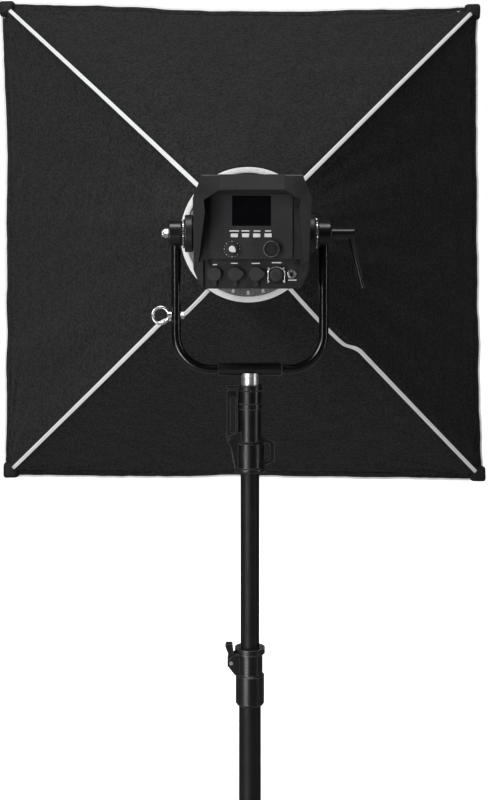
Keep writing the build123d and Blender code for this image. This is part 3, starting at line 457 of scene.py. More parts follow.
# ---- Mesh helpers
def new_piece(name, verts, faces, material, smooth=True):
    mesh = bpy.data.meshes.new(name)
    mesh.from_pydata([tuple(v) for v in verts], [], faces)
    mesh.materials.append(material)
    mesh.update()
    if smooth:
        mesh.shade_smooth()
    piece = bpy.data.objects.new(name, mesh)
    bpy.context.scene.collection.objects.link(piece)
    return piece


def grid_faces(rows, columns, wrap=False):
    """Quads of a grid of points kept row by row."""
    faces = []
    for start in range(0, (rows - 1) * columns, columns):
        for c in range(columns if wrap else columns - 1):
            beside = (c + 1) % columns
            faces.append((start + c, start + beside, start + columns + beside, start + columns + c))
    return faces


def merged(piece, gap):
    """Merges points closer than a gap and turns every face outwards."""
    mesh = bmesh.new()
    mesh.from_mesh(piece.data)
    bmesh.ops.remove_doubles(mesh, verts=mesh.verts, dist=gap)
    bmesh.ops.recalc_face_normals(mesh, faces=mesh.faces)
    mesh.to_mesh(piece.data)
    mesh.free()
    return piece


def squared(part, power=0.6):
    """A turn's cosine or sine, pushed outwards so that a circle becomes a rounded square."""
    return abs(part) ** power * (1 if part > 0 else -1)


def turns(count):
    """Equal turns once round."""
    return [2 * pi * k / count for k in range(count)]


def loft(name, sections, material, closed=True, looped=False):
    """Surface through equally long sections, capped at both ends or looped back to the first."""
    count = len(sections[0])
    if looped:
        sections = sections + sections[:1]
    verts = [p for section in sections for p in section]
    faces = grid_faces(len(sections), count, closed)
    if closed and not looped:
        faces.append(tuple(range(count))[::-1])
        faces.append(tuple(range(len(verts) - count, len(verts))))
    return new_piece(name, verts, faces, material)


def tube(name, path, radius, material, sides):
    """Round wire along a list of points."""
    sections = []
    for i, point in enumerate(path):
        ahead = path[min(i + 1, len(path) - 1)] - path[max(i - 1, 0)]
        across = ahead.cross(Vector((0, 0, 1)))
        if across.length < 1e-6:
            across = ahead.cross(Vector((1, 0, 0)))
        across.normalize()
        up = across.cross(ahead).normalized()
        sections.append([
            point + across * (radius * cos(turn)) + up * (radius * sin(turn)) for turn in turns(sides)
        ])
    return loft(name, sections, material)


def add_modifier(piece, kind, **values):
    modifier = piece.modifiers.new(kind.title(), kind)
    for key, value in values.items():
        setattr(modifier, key, value)
    return modifier


def softened(name, width, segments=2):
    """Rounds a CAD node's hard edges a little, as moulding and casting do."""
    add_modifier(
        nodes[name], "BEVEL", width=width, segments=segments, limit_method="ANGLE", angle_limit=radians(35))


# ---- The softbox skin: one continuous curved cloth, pulled tight between the rods
# Each side's outward and sideways directions (x, z), in order round the axis.
SIDES = (
    ((0, 1), (1, 0)),       # top
    ((1, 0), (0, -1)),      # right
    ((0, -1), (-1, 0)),     # bottom
    ((-1, 0), (0, 1)),      # left
)
TOP, RIGHT, BOTTOM, LEFT = range(4)
# How far each corner is pulled off a true square, (x, z), by the side that ends in it.
CORNER_PULL = ((-0.0035, -0.0055), (0.007, -0.0035), (-0.001, 0.005), (-0.009, 0.0015))
# How each side's front edge runs in between its corners: the bow's depth and fullness.
EDGE_BOW = ((0.0125, 1.2), (0.0070, 0.6), (0.0018, 1.0), (0.0040, 1.0))
# Local waves of the front edge: side, depth inwards, place along the side, width.
EDGE_WAVES = (
    (0, -0.0050, -0.57, 0.25),
    (2, 0.0018, -0.03, 0.12),
    (2, -0.0030, 0.50, 0.30),
    (3, 0.0050, 0.42, 0.25),
)
SAG = (0.013, 0.011, 0.012, 0.012)
# Creases that fan out of the corner pockets: angle from the hem, width, height, reach.
CREASES = (
    (5, 2.2, -0.0030, 0.36),
    (10, 2.0, 0.0028, 0.34),
    (17, 2.6, -0.0034, 0.30),
    (25, 3.0, 0.0026, 0.24),
    (36, 3.4, -0.0026, 0.20),
    (48, 4.5, 0.0022, 0.26),
)
DRAPE, RIPPLE, STREAK = 0.0060, 0.0026, 0.0011     # broad, small and lengthwise unevenness
HEM = 0.017                                        # depth of the sewn hem at the front edge
HEM_GROOVE, HEM_RISE = 0.0022, 0.0008              # the stitched line and the doubled cloth
SIDE_COLUMNS = 72
CLOTH = 0.0007                                     # thickness


def smooth(x):
    x = min(max(x, 0.0), 1.0)
    return x * x * (3 - 2 * x)


def edge_bow(side, s):
    """How far the front edge is pulled in between two corners."""
    depth, fullness = EDGE_BOW[side]
    total = depth * max(1 - s * s, 0.0) ** fullness
    total += 0.0009 * noise.noise(Vector((s * 5.1, side * 7.7, 1.3))) * (1 - s ** 6)
    for wave_side, height, place, width in EDGE_WAVES:
        if wave_side == side:
            total += height * exp(-(((s - place) / width) ** 2)) * smooth((1 - abs(s)) / 0.2)
    return total


def crease_height(side, s, v):
    """Height of the fan of creases near the two front corners."""
    along_front = (1 - abs(s)) * HALF
    from_front = (1 - v) * LEAN
    r = hypot(along_front, from_front)
    if r < 1e-6:
        return 0.0
    angle = atan2(from_front, along_front) * 180 / pi
    jitter = 1.6 * noise.noise(Vector((r * 9, side * 3.1 + (5 if s > 0 else 0), 2.0)))
    total = 0.0
    for k, (place, width, height, reach) in enumerate(CREASES):
        place += 3.0 * noise.noise(Vector((k * 1.7, side * 2.3, 9.0 if s > 0 else 4.0))) + jitter
        gain = 0.55 + 0.9 * abs(noise.noise(Vector((k * 2.9 + 0.5, side * 1.9, 6.0 if s > 0 else 1.0)))) * 2
        fade = smooth(r / 0.035) * (1 - smooth(r / reach))
        total += height * gain * fade * exp(-(((angle - place) / width) ** 2))
    return total


def skin_point(side, s, v, lift=0.0):
    """Point of the skin: s runs across a side from -1 to 1, v from the ring (0) to the front (1)."""
    (ox, oz), (tx, tz) = SIDES[side]
    turn = s * pi / 4
    bow = edge_bow(side, s) * v ** 2.2
    radial = (1 - v) * RING_R * cos(turn) + v * HALF - bow
    across = (1 - v) * RING_R * sin(turn) + v * HALF * s
    middle = (4 * v * (1 - v)) ** 0.9 * (1 - s * s) ** 0.8
    drape = noise.noise(Vector((s * 2.3, v * 1.6, side * 4.1 + 0.7)))
    fine = noise.noise(Vector((s * 7.0, v * 2.4, side * 5.3 + 3.7)))
    edge_free = smooth((1 - abs(s)) / 0.12) * smooth(v / 0.1)
    inward = SAG[side] * middle
    streak = noise.noise(Vector((s * 26.0, v * 1.3, side * 3.9 + 8.2))) * smooth((v - 0.35) / 0.3)
    inward -= (DRAPE * drape * smooth((1 - v) / 0.05) + RIPPLE * fine + STREAK * streak) * edge_free
    inward -= crease_height(side, s, v)
    hem = ((1 - v) * LEAN - HEM) / 0.0035
    inward += HEM_GROOVE * exp(-hem * hem) * smooth((1 - abs(s)) / 0.03)
    inward -= HEM_RISE * smooth((HEM - (1 - v) * LEAN) / 0.004)
    inward -= lift
    radial -= OUT * inward
    y = REAR_Y + DEPTH * v + BACK * inward
    x, z = ox * radial + tx * across, oz * radial + tz * across
    ahead, behind = CORNER_PULL[side], CORNER_PULL[(side - 1) % 4]
    share = (s + 1) / 2
    pull = v ** 2
    x += pull * (ahead[0] * share + behind[0] * (1 - share))
    z += pull * (ahead[1] * share + behind[1] * (1 - share))
    return at(x, y, z)


def panel_normal(side):
    (ox, oz), _ = SIDES[side]
    return Vector((ox * OUT, -BACK, oz * OUT))


def across_places():
    """Places across a side, closer together near the seams."""
    even = [2 * k / SIDE_COLUMNS - 1 for k in range(SIDE_COLUMNS)]
    return [sin(pi / 2 * s) * 0.35 + s * 0.65 for s in even]


def depth_places():
    """Places from the ring to the front, close together in the hem."""
    hem_start = 1 - 0.045 / LEAN
    body = [hem_start * k / 84 for k in range(84)]
    hem = [hem_start + (1 - hem_start) * k / 18 for k in range(19)]
    return body + hem


def make_skin():
    columns = [(side, s) for side in range(4) for s in across_places()]
    rows = depth_places()
    verts = [skin_point(side, s, v) for v in rows for side, s in columns]
    faces = grid_faces(len(rows), len(columns), wrap=True)
    skin = new_piece("softbox_skin", verts, faces, SKIN)
    skin.data.materials.append(LINING)
    add_modifier(skin, "SOLIDIFY", thickness=CLOTH, offset=-1, material_offset=1, use_even_offset=True)
    return skin


def smooth_path(points, per_run):
    """Catmull-Rom curve through points."""
    padded = [points[0] * 2 - points[1]] + points + [points[-1] * 2 - points[-2]]
    path = []
    for k in range(1, len(padded) - 2):
        a, b, c, d = padded[k - 1:k + 3]
        for step in range(per_run):
            t = step / per_run
            bend, twist = 2 * a - 5 * b + 4 * c - d, 3 * b - a - 3 * c + d
            path.append(0.5 * (2 * b + (c - a) * t + bend * t * t + twist * t ** 3))
    return path + [points[-1]]


def sewn_strip(name, path, normals, profile, material):
    """Strip with a fixed section along a path; profile is (across, up) pairs."""
    sections = []
    for i, point in enumerate(path):
        ahead = (path[min(i + 1, len(path) - 1)] - path[max(i - 1, 0)]).normalized()
        up = normals[i] - ahead * normals[i].dot(ahead)
        up.normalize()
        across = ahead.cross(up)
        wave = 1 + 0.05 * noise.noise(point * 45)
        sections.append([point + across * (a * wave) + up * (b * wave) for a, b in profile])
    return loft(name, sections, material)


def piping_profile(half_width=0.0039, height=0.0044, count=20):
    """Half-round cord with a fine groove along its crest, as (across, up) pairs."""
    profile = []
    for turn in turns(count):
        a = half_width * cos(turn)
        b = height * (0.5 + 0.5 * sin(turn))
        if sin(turn) > 0:
            b -= 0.0009 * exp(-((a / 0.0009) ** 2))
        profile.append((a, b - 0.0008))
    return profile


def make_piping():
    """White piping down the four seams; the lower two step off the seam near the ring."""
    made = []
    profile = piping_profile()
    for side, name in ((TOP, "seam_piping_right_top"), (LEFT, "seam_piping_left_top")):
        up = (panel_normal(side) + panel_normal((side + 1) % 4)).normalized()
        path = [skin_point(side, 1.0, 0.004 + 0.951 * k / 90) for k in range(91)]
        made.append(sewn_strip(name, path, [up] * len(path), profile, PIPING))
    # (s, v) on the bottom panel's right (-1) and left (1) half
    stepped = {
        -1: (
            (1.0, 0.955), (1.0, 0.85), (1.0, 0.70), (1.0, 0.55), (1.0, 0.42), (1.0, 0.34),
            (1.0, 0.315), (0.998, 0.302), (0.978, 0.287), (0.945, 0.276), (0.922, 0.266), (0.912, 0.252),
            (0.904, 0.232), (0.893, 0.193), (0.880, 0.140), (0.868, 0.075), (0.857, 0.006),
        ),
        1: (
            (1.0, 0.955), (1.0, 0.85), (1.0, 0.70), (1.0, 0.55), (1.0, 0.40), (1.0, 0.26),
            (1.0, 0.21), (1.0, 0.185), (0.988, 0.168), (0.950, 0.152), (0.910, 0.141), (0.876, 0.132),
            (0.854, 0.121), (0.842, 0.100), (0.822, 0.052), (0.806, 0.006),
        ),
    }
    for sign, name in ((-1, "seam_piping_right_low"), (1, "seam_piping_left_low")):
        points, ups = [], []
        corner_side = RIGHT if sign < 0 else LEFT
        seam_up = (panel_normal(BOTTOM) + panel_normal(corner_side)).normalized()
        for s, v in stepped[sign]:
            points.append(skin_point(BOTTOM, sign * s, v))
            on_seam = smooth((s - 0.93) / 0.07)
            ups.append((panel_normal(BOTTOM).lerp(seam_up, on_seam)).normalized())
        path = smooth_path(points, 8)
        normals = smooth_path(ups, 8)
        made.append(sewn_strip(name, path, normals, profile, PIPING))
    return made


def front_edge(step):
    """Points of the skin's front edge, each with its outward direction and s, once round."""
    found = []
    count = int(2 * HALF / step)
    for side, ((ox, oz), _) in enumerate(SIDES):
        for k in range(count):
            s = 2 * k / count - 1
            found.append((skin_point(side, s, 1.0), Vector((ox, 0, oz)), s))
    return found


def make_edging():
    """White tape folded over the front edge, its outer side gathered by the stitching."""
    pitch, gather = 0.0052, 0.0007
    inner, outer, depth = 0.007, 0.0045, 0.0105
    half = (inner + outer) / 2
    sections = []
    for k, (point, out, s) in enumerate(front_edge(pitch / 4)):
        corner = smooth((1 - abs(s)) / 0.02)
        tooth = gather * (1 if k % 4 < 2 else -1) * (0.6 + 0.8 * noise.noise(point * 31))
        middle = point + out * ((outer - inner) / 2)
        ring = []
        for turn in turns(14):
            a, b = squared(cos(turn)), squared(sin(turn))
            reach = half * a + (tooth * corner if a > 0.5 else 0)
            forward = depth / 2 + 0.0006 + depth / 2 * b * (0.92 + 0.08 * corner)
            ring.append(middle + out * reach + Vector((0, forward, 0)))
        sections.append(ring)
    return loft("front_edging", sections, BINDING, looped=True)


POCKET_HALF = (0.0190, 0.0175, 0.0135)      # half sizes: along the diagonal, across it, in depth
POCKET_SHIFT = (-0.0160, -0.0040)           # middle from the corner: along the diagonal, forwards


def make_pockets():
    """Black webbing pocket sewn over each corner, where the rod's tip pushes."""
    made = []
    rings, count = 15, 36
    for side, name in enumerate(("right_top", "right_low", "left_low", "left_top")):
        corner = skin_point(side, 1.0, 1.0)
        (ox, oz), (tx, tz) = SIDES[side]
        diagonal = Vector((ox + tx, 0, oz + tz)).normalized()
        across = Vector((diagonal.z, 0, -diagonal.x))
        verts = []
        for r in range(rings):
            rise = -pi / 2 + pi * r / (rings - 1)
            flat = cos(rise) ** 0.5 if cos(rise) > 0 else 0.0
            for turn in turns(count):
                a, b = flat * squared(cos(turn), 0.55), flat * squared(sin(turn), 0.55)
                u, w = (a - b) * 0.7071, (a + b) * 0.7071
                taper = 1 + 0.22 * max(-u, 0) ** 2
                pinch = 1 - 0.16 * smooth(abs(u))
                place = corner + diagonal * (u * POCKET_HALF[0] * taper + POCKET_SHIFT[0])
                place += across * (w * POCKET_HALF[1] * pinch)
                forward = POCKET_HALF[2] * sin(rise) * (1 - 0.25 * abs(u))
                place += Vector((0, POCKET_SHIFT[1] + forward, 0))
                place += (diagonal * 0.0006 + across * 0.0005) * noise.noise(place * 110)
                verts.append(place)
        pocket = new_piece("corner_pocket_" + name, verts, grid_faces(rings, count, wrap=True), POCKET)
        made.append(merged(pocket, 1e-5))
    return made


def make_collar():
    """White elastic band round the rear opening; black where the skin laps over it at the right."""
    inner, outer = RING_R - 0.0068, RING_R + 0.0032
    low, high = collar_low.y + 0.0003, collar_high.y - 0.0002
    lap = 0.8           # half the turn over which the skin covers the band, in radians
    sections = []
    for k, turn in enumerate(turns(192)):
        uneven = noise.noise(Vector((cos(turn) * 3, sin(turn) * 3, 5)))
        gather = 0.00045 * sin(k * 2 * pi / 3) + 0.0004 * uneven
        ring = []
        for bend in turns(14):
            r = (inner + outer) / 2 + (outer - inner) / 2 * squared(cos(bend))
            y = (low + high) / 2 + ((high - low) / 2 - 0.0004) * squared(sin(bend)) + gather
            ring.append(at(r * cos(turn), y, r * sin(turn) + 0.0012))
        sections.append(ring)
    band = loft("rear_band", sections, BINDING, looped=True)
    band.data.materials.append(SKIN)
    for face in band.data.polygons:
        if atan2(abs(face.center.z - AXIS_Z), face.center.x) < lap:
            face.material_index = 1
    return band


def make_lip():
    """Black tape inside the front lip, in front of the diffuser."""
    start, stop = (diffuser_high.y + 0.002 - REAR_Y) / DEPTH, 0.998
    inside, thick, count = -(CLOTH + 0.0035), 0.0014, 120
    corners = ((start, inside), (stop, inside), (stop, inside - thick), (start, inside - thick))
    sections = []
    for side in range(4):
        for k in range(count):
            s = 0.995 * (2 * k / count - 1)
            sections.append([skin_point(side, s, v, lift) for v, lift in corners])
    return loft("front_lip_tape", sections, BLACK_TAPE, looped=True)


def stitches(name, paths, length, gap, material, radius=0.00035):
    """Rows of separate thread stitches along paths of (point, outward normal)."""
    verts, faces = [], []
    one_stitch = grid_faces(4, 5, wrap=True) + [(4, 3, 2, 1, 0), (15, 16, 17, 18, 19)]
    for path in paths:
        travelled, start = 0.0, None
        for (a, up), (b, _) in zip(path, path[1:]):
            travelled += (b - a).length
            if start is None:
                start = a
            if travelled >= length:
                side = (b - start).normalized().cross(up).normalized()
                faces += [tuple(len(verts) + corner for corner in face) for face in one_stitch]
                for t, swell in ((0.0, 0.3), (0.25, 1.0), (0.75, 1.0), (1.0, 0.3)):
                    middle = start.lerp(b, t) + up * (radius * (swell - 0.3))
                    r = radius * swell
                    verts += [middle + side * (r * cos(turn)) + up * (r * sin(turn)) for turn in turns(5)]
                travelled, start = -gap, None
            elif travelled < 0:
                start = None
    return new_piece(name, verts, faces, material)


def make_hem_stitches():
    row, steps = 1 - (HEM - 0.0025) / LEAN, 519
    places = [0.955 * (2 * k / steps - 1) for k in range(steps + 1)]
    paths = [
        [(skin_point(side, s, row, 0.0002), panel_normal(side)) for s in places] for side in range(4)
    ]
    return stitches("hem_stitches", paths, 0.0036, 0.0018, THREAD)


def outlined_sheet(name, outline, centre, rings, shape, material):
    """Cloth inside an outline; shape(k, x, z) gives how far a point stands forward."""
    verts = [centre + Vector((0, shape(0.0, 0.0, 0.0), 0))]
    count = len(outline)
    for r in range(1, rings + 1):
        k = r / rings
        for point in outline:
            place = centre.lerp(point, k)
            place.y += shape(k, place.x, place.z)
            verts.append(place)
    faces = [(0, 1 + (c + 1) % count, 1 + c) for c in range(count)]
    faces += [tuple(1 + corner for corner in face) for face in grid_faces(rings, count, wrap=True)]
    return new_piece(name, verts, faces, material)


def cut_square(half, cut, y, per_side, bow):
    """Outline of a square with cut corners whose sides bow in."""
    outline = []
    for (ox, oz), (tx, tz) in SIDES:
        for k in range(per_side):
            s = (2 * k / per_side - 1) * (half - cut) / half
            radial = half - bow * (1 - s * s)
            outline.append(at(ox * radial + tx * half * s, y, oz * radial + tz * half * s))
    return outline


def strap(middle, across, up):
    """Section of a flat strap."""
    return [middle + across + up, middle - across + up, middle - across - up, middle + across - up]


def make_diffuser():
    """Front diffuser: one stretched white cloth, puckered along its hook-tape edge."""
    y = (diffuser_low.y + diffuser_high.y) / 2
    v = (y - REAR_Y) / DEPTH
    inset, corner_at, per_side, tape_width = 0.0095, 0.915, 60, 0.018
    outline = []
    for side in range(4):
        for k in range(per_side):
            point = skin_point(side, (2 * k / per_side - 1) * corner_at, v, -inset)
            outline.append(Vector((point.x, y, point.z)))

    def shape(k, x, z):
        belly = -0.010 * (1 - k ** 2)
        pucker = 0.0011 * smooth((k - 0.8) / 0.15) * (1 - smooth((k - 0.97) / 0.03))
        wave = 0.0016 * noise.noise(Vector((x * 4, 2, z * 4))) * (1 - k ** 4)
        return belly + pucker * noise.noise(Vector((x * 26, 0, z * 26))) * 2 + wave

    cloth = outlined_sheet("front_diffuser_cloth", outline, at(0, y, 0), 44, shape, DIFFUSER)
    add_modifier(cloth, "SOLIDIFY", thickness=0.0006, offset=0)
    strip = []
    for point in outline:
        inner = point + (at(0, y, 0) - point).normalized() * tape_width
        strip.append([
            edge + Vector((0, forward, 0))
            for edge, forward in ((point, 0.0006), (point, 0.0018), (inner, 0.0016), (inner, 0.0004))
        ])
    tape = loft("diffuser_hook_tape", strip, BINDING, looped=True)
    return cloth, tape


def make_baffle():
    """Inner baffle: a smaller cloth held off the rods by four elastic straps."""
    half, cut = baffle_high.x, 0.030
    y = (baffle_low.y + baffle_high.y) / 2
    outline = cut_square(half, cut, y, 30, 0.007)
    cloth = outlined_sheet(
        "inner_baffle_cloth", outline, at(0, y, 0), 20,
        lambda k, x, z: -0.005 * (1 - k ** 2) + 0.0015 * noise.noise(Vector((x * 9, 1, z * 9))), DIFFUSER,
    )
    add_modifier(cloth, "SOLIDIFY", thickness=0.0006, offset=0)
    # How far from the axis the rods pass the baffle, each a straight line from ring to corner.
    rod_low, rod_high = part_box("support_rods")
    rod_lean = (rod_high.x * sqrt(2) - ROD_START) / (rod_high.y - rod_low.y)
    rod_reach = ROD_START + rod_lean * (y - rod_low.y)
    near, far = (half - cut / 2) * sqrt(2) - 0.012, rod_reach - 0.004
    straps = []
    for k, (sx, sz) in enumerate(((1, 1), (1, -1), (-1, -1), (-1, 1))):
        diagonal = Vector((sx, 0, sz)).normalized()
        across = Vector((diagonal.z, 0, -diagonal.x))
        sections = []
        for j in range(13):
            t = j / 12
            middle = at(0, y + 0.0016 + 0.001 * sin(pi * t), 0) + diagonal * (near + (far - near) * t)
            wide = 0.0075 - 0.0015 * sin(pi * t)
            sections.append(strap(middle, across * wide, Vector((0, 0.0005, 0))))
        straps.append(loft(f"baffle_strap_{k + 1}", sections, BLACK_TAPE))
    return cloth, straps


ROD_START = 0.096       # the rods' distance from the axis at the speed ring

skin = make_skin()
piping = make_piping()
edging = make_edging()
pockets = make_pockets()
collar = make_collar()
lip = make_lip()
hem_stitches = make_hem_stitches()
diffuser, hook_tape = make_diffuser()
baffle, straps = make_baffle()

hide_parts("fabric_skin")
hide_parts("front_binding")
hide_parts("corner_pockets")
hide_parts("rear_collar")
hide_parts("front_diffuser")
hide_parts("inner_baffle")
for piece in [skin, *pockets, lip, hem_stitches, *straps]:
    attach(piece, "softbox")
for piece in [*piping, edging, collar, diffuser, hook_tape, baffle]:
    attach(piece, "softbox")

# ---- Small pieces of the lamp head, with places in millimetres from the tilt axis
PRINT_STEP, PRINT_THICK = 0.12 * MM, 0.15   # how far prints stand proud, and their thickness in mm
DIAL_Z = AXIS_Z - 26 * MM
PIVOT_Y = sum(v.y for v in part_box("base_column")) / 2
PANEL_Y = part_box("control_panel")[0].y
HANDLE_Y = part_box("carry_handle")[0].y
PORTS_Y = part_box("power_plate")[0].y


def centre_of(node):
    low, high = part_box(node)
    return (low + high) / 2


def slab(name, outline, place, thick, material, bevel=0.0):
    """Flat piece facing backwards: outline in mm about a place, which is on its rear face."""
    count = len(outline)
    verts = [place + Vector((x * MM, 0, z * MM)) for x, z in outline]
    verts += [v + Vector((0, thick * MM, 0)) for v in verts]
    faces = [tuple(range(count)), tuple(range(count, 2 * count))[::-1]]
    faces += [(k, (k + 1) % count, count + (k + 1) % count, count + k)[::-1] for k in range(count)]
    piece = new_piece(name, verts, faces, material, smooth=False)
    if bevel:
        add_modifier(piece, "BEVEL", width=bevel * MM, segments=2, limit_method="ANGLE")
    return piece


def rounded(width, height, corner, steps=5):
    """Outline of a rounded rectangle, in mm."""
    outline = []
    for quarter, (sx, sz) in enumerate(((1, 1), (-1, 1), (-1, -1), (1, -1))):
        for k in range(steps + 1):
            turn = pi / 2 * (quarter + k / steps)
            x = sx * (width / 2 - corner) + corner * cos(turn)
            outline.append((x, sz * (height / 2 - corner) + corner * sin(turn)))
    return outline


def lathe(name, place, profile, material, axis=(0, -1, 0), sides=48, teeth=0, tooth=0.0):
    """Turned piece: profile gives (radius, way along the axis) in mm from a place."""
    axis = Vector(axis)
    first = axis.orthogonal().normalized()
    second = axis.cross(first)
    widest = max(r for r, _ in profile)
    sections = []
    for k, turn in enumerate(turns(sides)):
        grow = tooth if teeth and (k * teeth * 2 // sides) % 2 else 0.0
        ring = []
        for r, along in profile:
            reach = (r + (grow if r > 0.5 * widest else 0)) * MM
            ring.append(place + (first * cos(turn) + second * sin(turn)) * reach + axis * (along * MM))
        sections.append(ring)
    piece = merged(loft(name, sections, material, closed=False, looped=True), 1e-6)
    piece.data.set_sharp_from_angle(angle=radians(32))
    return piece


def joined(name, pieces):
    """One piece made of several, so that a row of marks counts as one."""
    mesh = bmesh.new()
    for piece in pieces:
        mesh.from_mesh(piece.data)
    made = bpy.data.meshes.new(name)
    mesh.to_mesh(made)
    mesh.free()
    for material in pieces[0].data.materials:
        made.materials.append(material)
    for piece in pieces:
        bpy.data.objects.remove(piece)
    result = bpy.data.objects.new(name, made)
    bpy.context.scene.collection.objects.link(result)
    return result


def on_head(x, z, y):
    return at(x * MM, y, z * MM)


def make_prints():
    """Printed marks by the controls: plain bars that stand in for the small captions."""
    # x, z, width and height of each bar: below the buttons, then above the ports
    panel_bars = (
        (-26.2, 1.3, 14.5, 1.8), (-9.3, 1.3, 12.0, 1.8), (8.1, 1.3, 10.2, 1.8), (24.9, 1.3, 9.2, 1.8),
    )
    port_bars = (
        (-55.5, -49.5, 7.0, 1.5), (-26.0, -47.5, 10.5, 1.5), (6.5, -47.7, 12.5, 1.5),
        (38.2, -46.6, 14.5, 1.5), (62.0, -73.0, 13.0, 1.3),
    )
    cover_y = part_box("rear_cover")[0].y + 4 * MM
    bars = []
    for rows, corner, y in ((panel_bars, 0.6, PANEL_Y), (port_bars, 0.5, cover_y)):
        for x, z, width, height in rows:
            outline = rounded(width, height, corner)
            bars.append(slab("bar", outline, on_head(x, z, y - PRINT_STEP), PRINT_THICK, WHITE))
    return joined("caption_bars", bars)


def make_dial_marks():
    """Ring of printed dots round the left dial, larger at every second place."""
    x, r = centre_of("left_dial").x, 11.7 * MM
    dots = []
    for k, turn in enumerate(turns(16)):
        place = Vector((x + r * cos(turn), PANEL_Y - PRINT_STEP, DIAL_Z + r * sin(turn)))
        size = 0.75 if k % 2 == 0 else 0.45
        outline = [(size * cos(a * pi / 6), size * sin(a * pi / 6)) for a in range(12)]
        dots.append(slab("dot", outline, place, PRINT_THICK, WHITE))
    return joined("dial_dots", dots)


def make_dial_cap():
    """White pointer cap on the left dial, its nose to the lower right."""
    place = Vector((centre_of("left_dial").x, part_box("left_dial")[0].y - 0.25 * MM, DIAL_Z))
    outline = []
    for turn in turns(40):
        nose = max(cos(turn + radians(38)), 0) ** 10
        r = 4.9 + 1.9 * nose
        outline.append((r * cos(turn), r * sin(turn)))
    return slab("dial_pointer", outline, place, 2.3, WHITE, bevel=0.5)


def make_knob_highlight_ring():
    """Painted highlight: a grey metal ring on the right knob's face, standing in for the light caught by its
    chamfered edge.
    """
    centre = centre_of("right_knob")
    place = Vector((centre.x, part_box("right_knob")[0].y, centre.z))
    profile = [
        (12.15, -1.6), (12.35, -0.6), (11.9, 0.15), (11.2, 0.2), (10.9, -0.5), (11.5, -1.4), (12.15, -1.6),
    ]
    return lathe("knob_trim_ring", place, profile, KNOB_HIGHLIGHT_RING, sides=72)


def make_power_cover():
    """Round dark cover over the power socket, with the bright spring frame round it."""
    centre = centre_of("power_plate")
    place = Vector((centre.x, PORTS_Y, centre.z))
    dome = [
        (0, 4.0), (2.2, 3.9), (2.6, 3.3), (4.2, 3.4), (7.5, 3.6), (9.4, 3.1), (10.2, 1.9), (10.3, 0.2),
        (9.0, -0.4), (0, -0.4),
    ]
    cover = lathe("power_cover", place, dome, RUBBER, sides=64)
    arch = [
        (-12.6, -12.4), (-12.6, -6.0), (-12.5, -1.0), (-12.6, 4.0), (-11.0, 7.4), (-7.5, 9.8), (-3.5, 11.4),
        (0, 11.9),
    ]
    arch += [(-x, z) for x, z in arch[-2::-1]]
    path = [place + Vector((x * MM, -1.3 * MM, z * MM)) for x, z in arch]
    frame_wire = tube("power_spring_frame", smooth_path(path, 6), 0.95 * MM, CHROME, sides=12)
    head = [(0, 1.2), (0.9, 1.15), (1.5, 0.7), (1.7, -0.1), (0, -0.1)]
    heads = [
        lathe("head", place + Vector((x * MM, 0, z * MM)), head, CHROME, sides=20)
        for x in (-11.5, 11.5) for z in (-10, 10)
    ]
    return cover, frame_wire, joined("power_plate_screws", heads)


def make_port_core():
    """Dark core of the round control port, with its three gold pins."""
    low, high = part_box("control_port")
    centre = (low + high) / 2
    place = Vector((centre.x, low.y + 3.2 * MM, centre.z))
    profile = [(0, 0), (1.2, 0), (2.6, 0.1), (3.15, -0.3), (3.15, -4.5), (0, -4.5)]
    core = lathe("control_port_core", place, profile, SOCKET, sides=40)
    profile = [(0, 1.6), (0.25, 1.5), (0.3, 1.2), (0.3, 0), (0, 0)]
    r = 1.5 * MM
    pins = []
    for turn in (radians(90 + 120 * k) for k in range(3)):
        pins.append(lathe("pin", place + Vector((r * cos(turn), 0, r * sin(turn))), profile, GOLD, sides=12))
    return core, joined("control_port_pins", pins)


def make_handle_plate():
    """Grip plate let into the middle of the handle."""
    place = on_head(0, 72.5, HANDLE_Y - 0.35 * MM)
    return slab("handle_grip_plate", rounded(96, 22.5, 1.2), place, 0.8, PLATE, bevel=0.25)


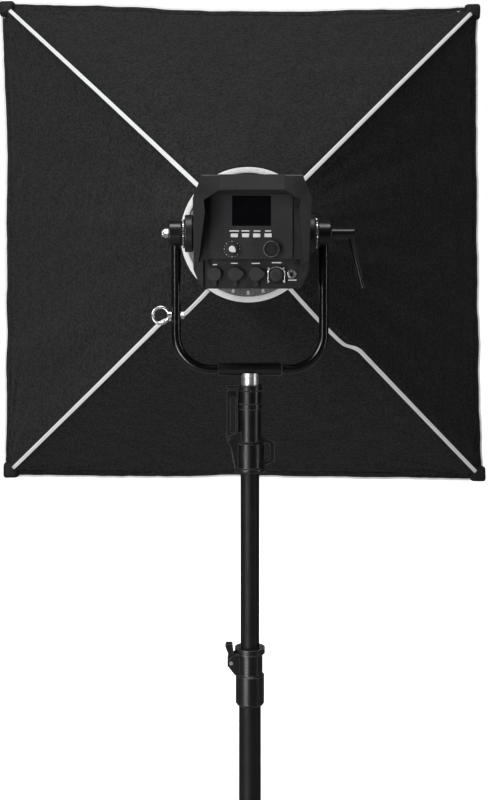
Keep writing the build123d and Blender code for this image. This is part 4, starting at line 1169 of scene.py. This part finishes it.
def make_rosette(side, name):
    """Toothed washer between a friction disc and its hub."""
    place = Vector((side * 107.6 * MM, PIVOT_Y, AXIS_Z))
    profile = [(17.3, 0), (22.0, 0), (22.6, -0.4), (22.6, -2.2), (22.0, -2.8), (17.3, -2.8), (17.3, 0)]
    return lathe(name, place, profile, BRIGHT, axis=(side, 0, 0), sides=120, teeth=30, tooth=1.3)


def make_ring_tabs():
    """Small bright tabs in the slots of the speed ring."""
    y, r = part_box("speed_ring")[0].y - 1.0 * MM, 98.6 * MM
    tabs = []
    for angle in (90, 180, 0, 255, 270, 285):
        turn = radians(angle)
        place = at(r * cos(turn), y, r * sin(turn))
        size = (4.6, 6.0) if abs(sin(turn)) > 0.5 else (6.0, 4.6)
        tabs.append(slab("tab", rounded(*size, 0.8), place, 3.2, WHITE, bevel=0.3))
    return joined("ring_tabs", tabs)


prints, dots = make_prints(), make_dial_marks()
power_cover, spring_frame, plate_screws = make_power_cover()
port_core, port_pins = make_port_core()
grip_plate = make_handle_plate()
pointer, knob_highlight = make_dial_cap(), make_knob_highlight_ring()
washers = [make_rosette(-1, "left_toothed_washer"), make_rosette(1, "right_toothed_washer")]
tabs = make_ring_tabs()
for body, finish, pieces in (
    ("lamp_head", "button_white", (prints, dots)),
    ("lamp_head", "black_rubber", (power_cover,)),
    ("lamp_head", "chrome", (spring_frame, plate_screws, port_pins)),
    ("lamp_head", "black_plastic", (port_core, grip_plate)),
    ("left_dial", "button_white", (pointer,)),
    ("right_knob", "chrome", (knob_highlight,)),
    ("yoke", "bright_steel", washers),
    ("softbox", "chrome", (tabs,)),
):
    for piece in pieces:
        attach(piece, body)

for name, width in (
    ("carry_handle", 0.0024), ("tilt_lever", 0.0010), ("receiver", 0.0011), ("receiver_lever", 0.0010),
    ("clamp_collar", 0.0010), ("clamp_lever", 0.0010), ("rear_cover", 0.0008), ("yoke_sleeve", 0.0010),
    ("yoke_hubs", 0.0008), ("friction_discs", 0.0008), ("control_panel", 0.0004),
):
    softened(name, width)
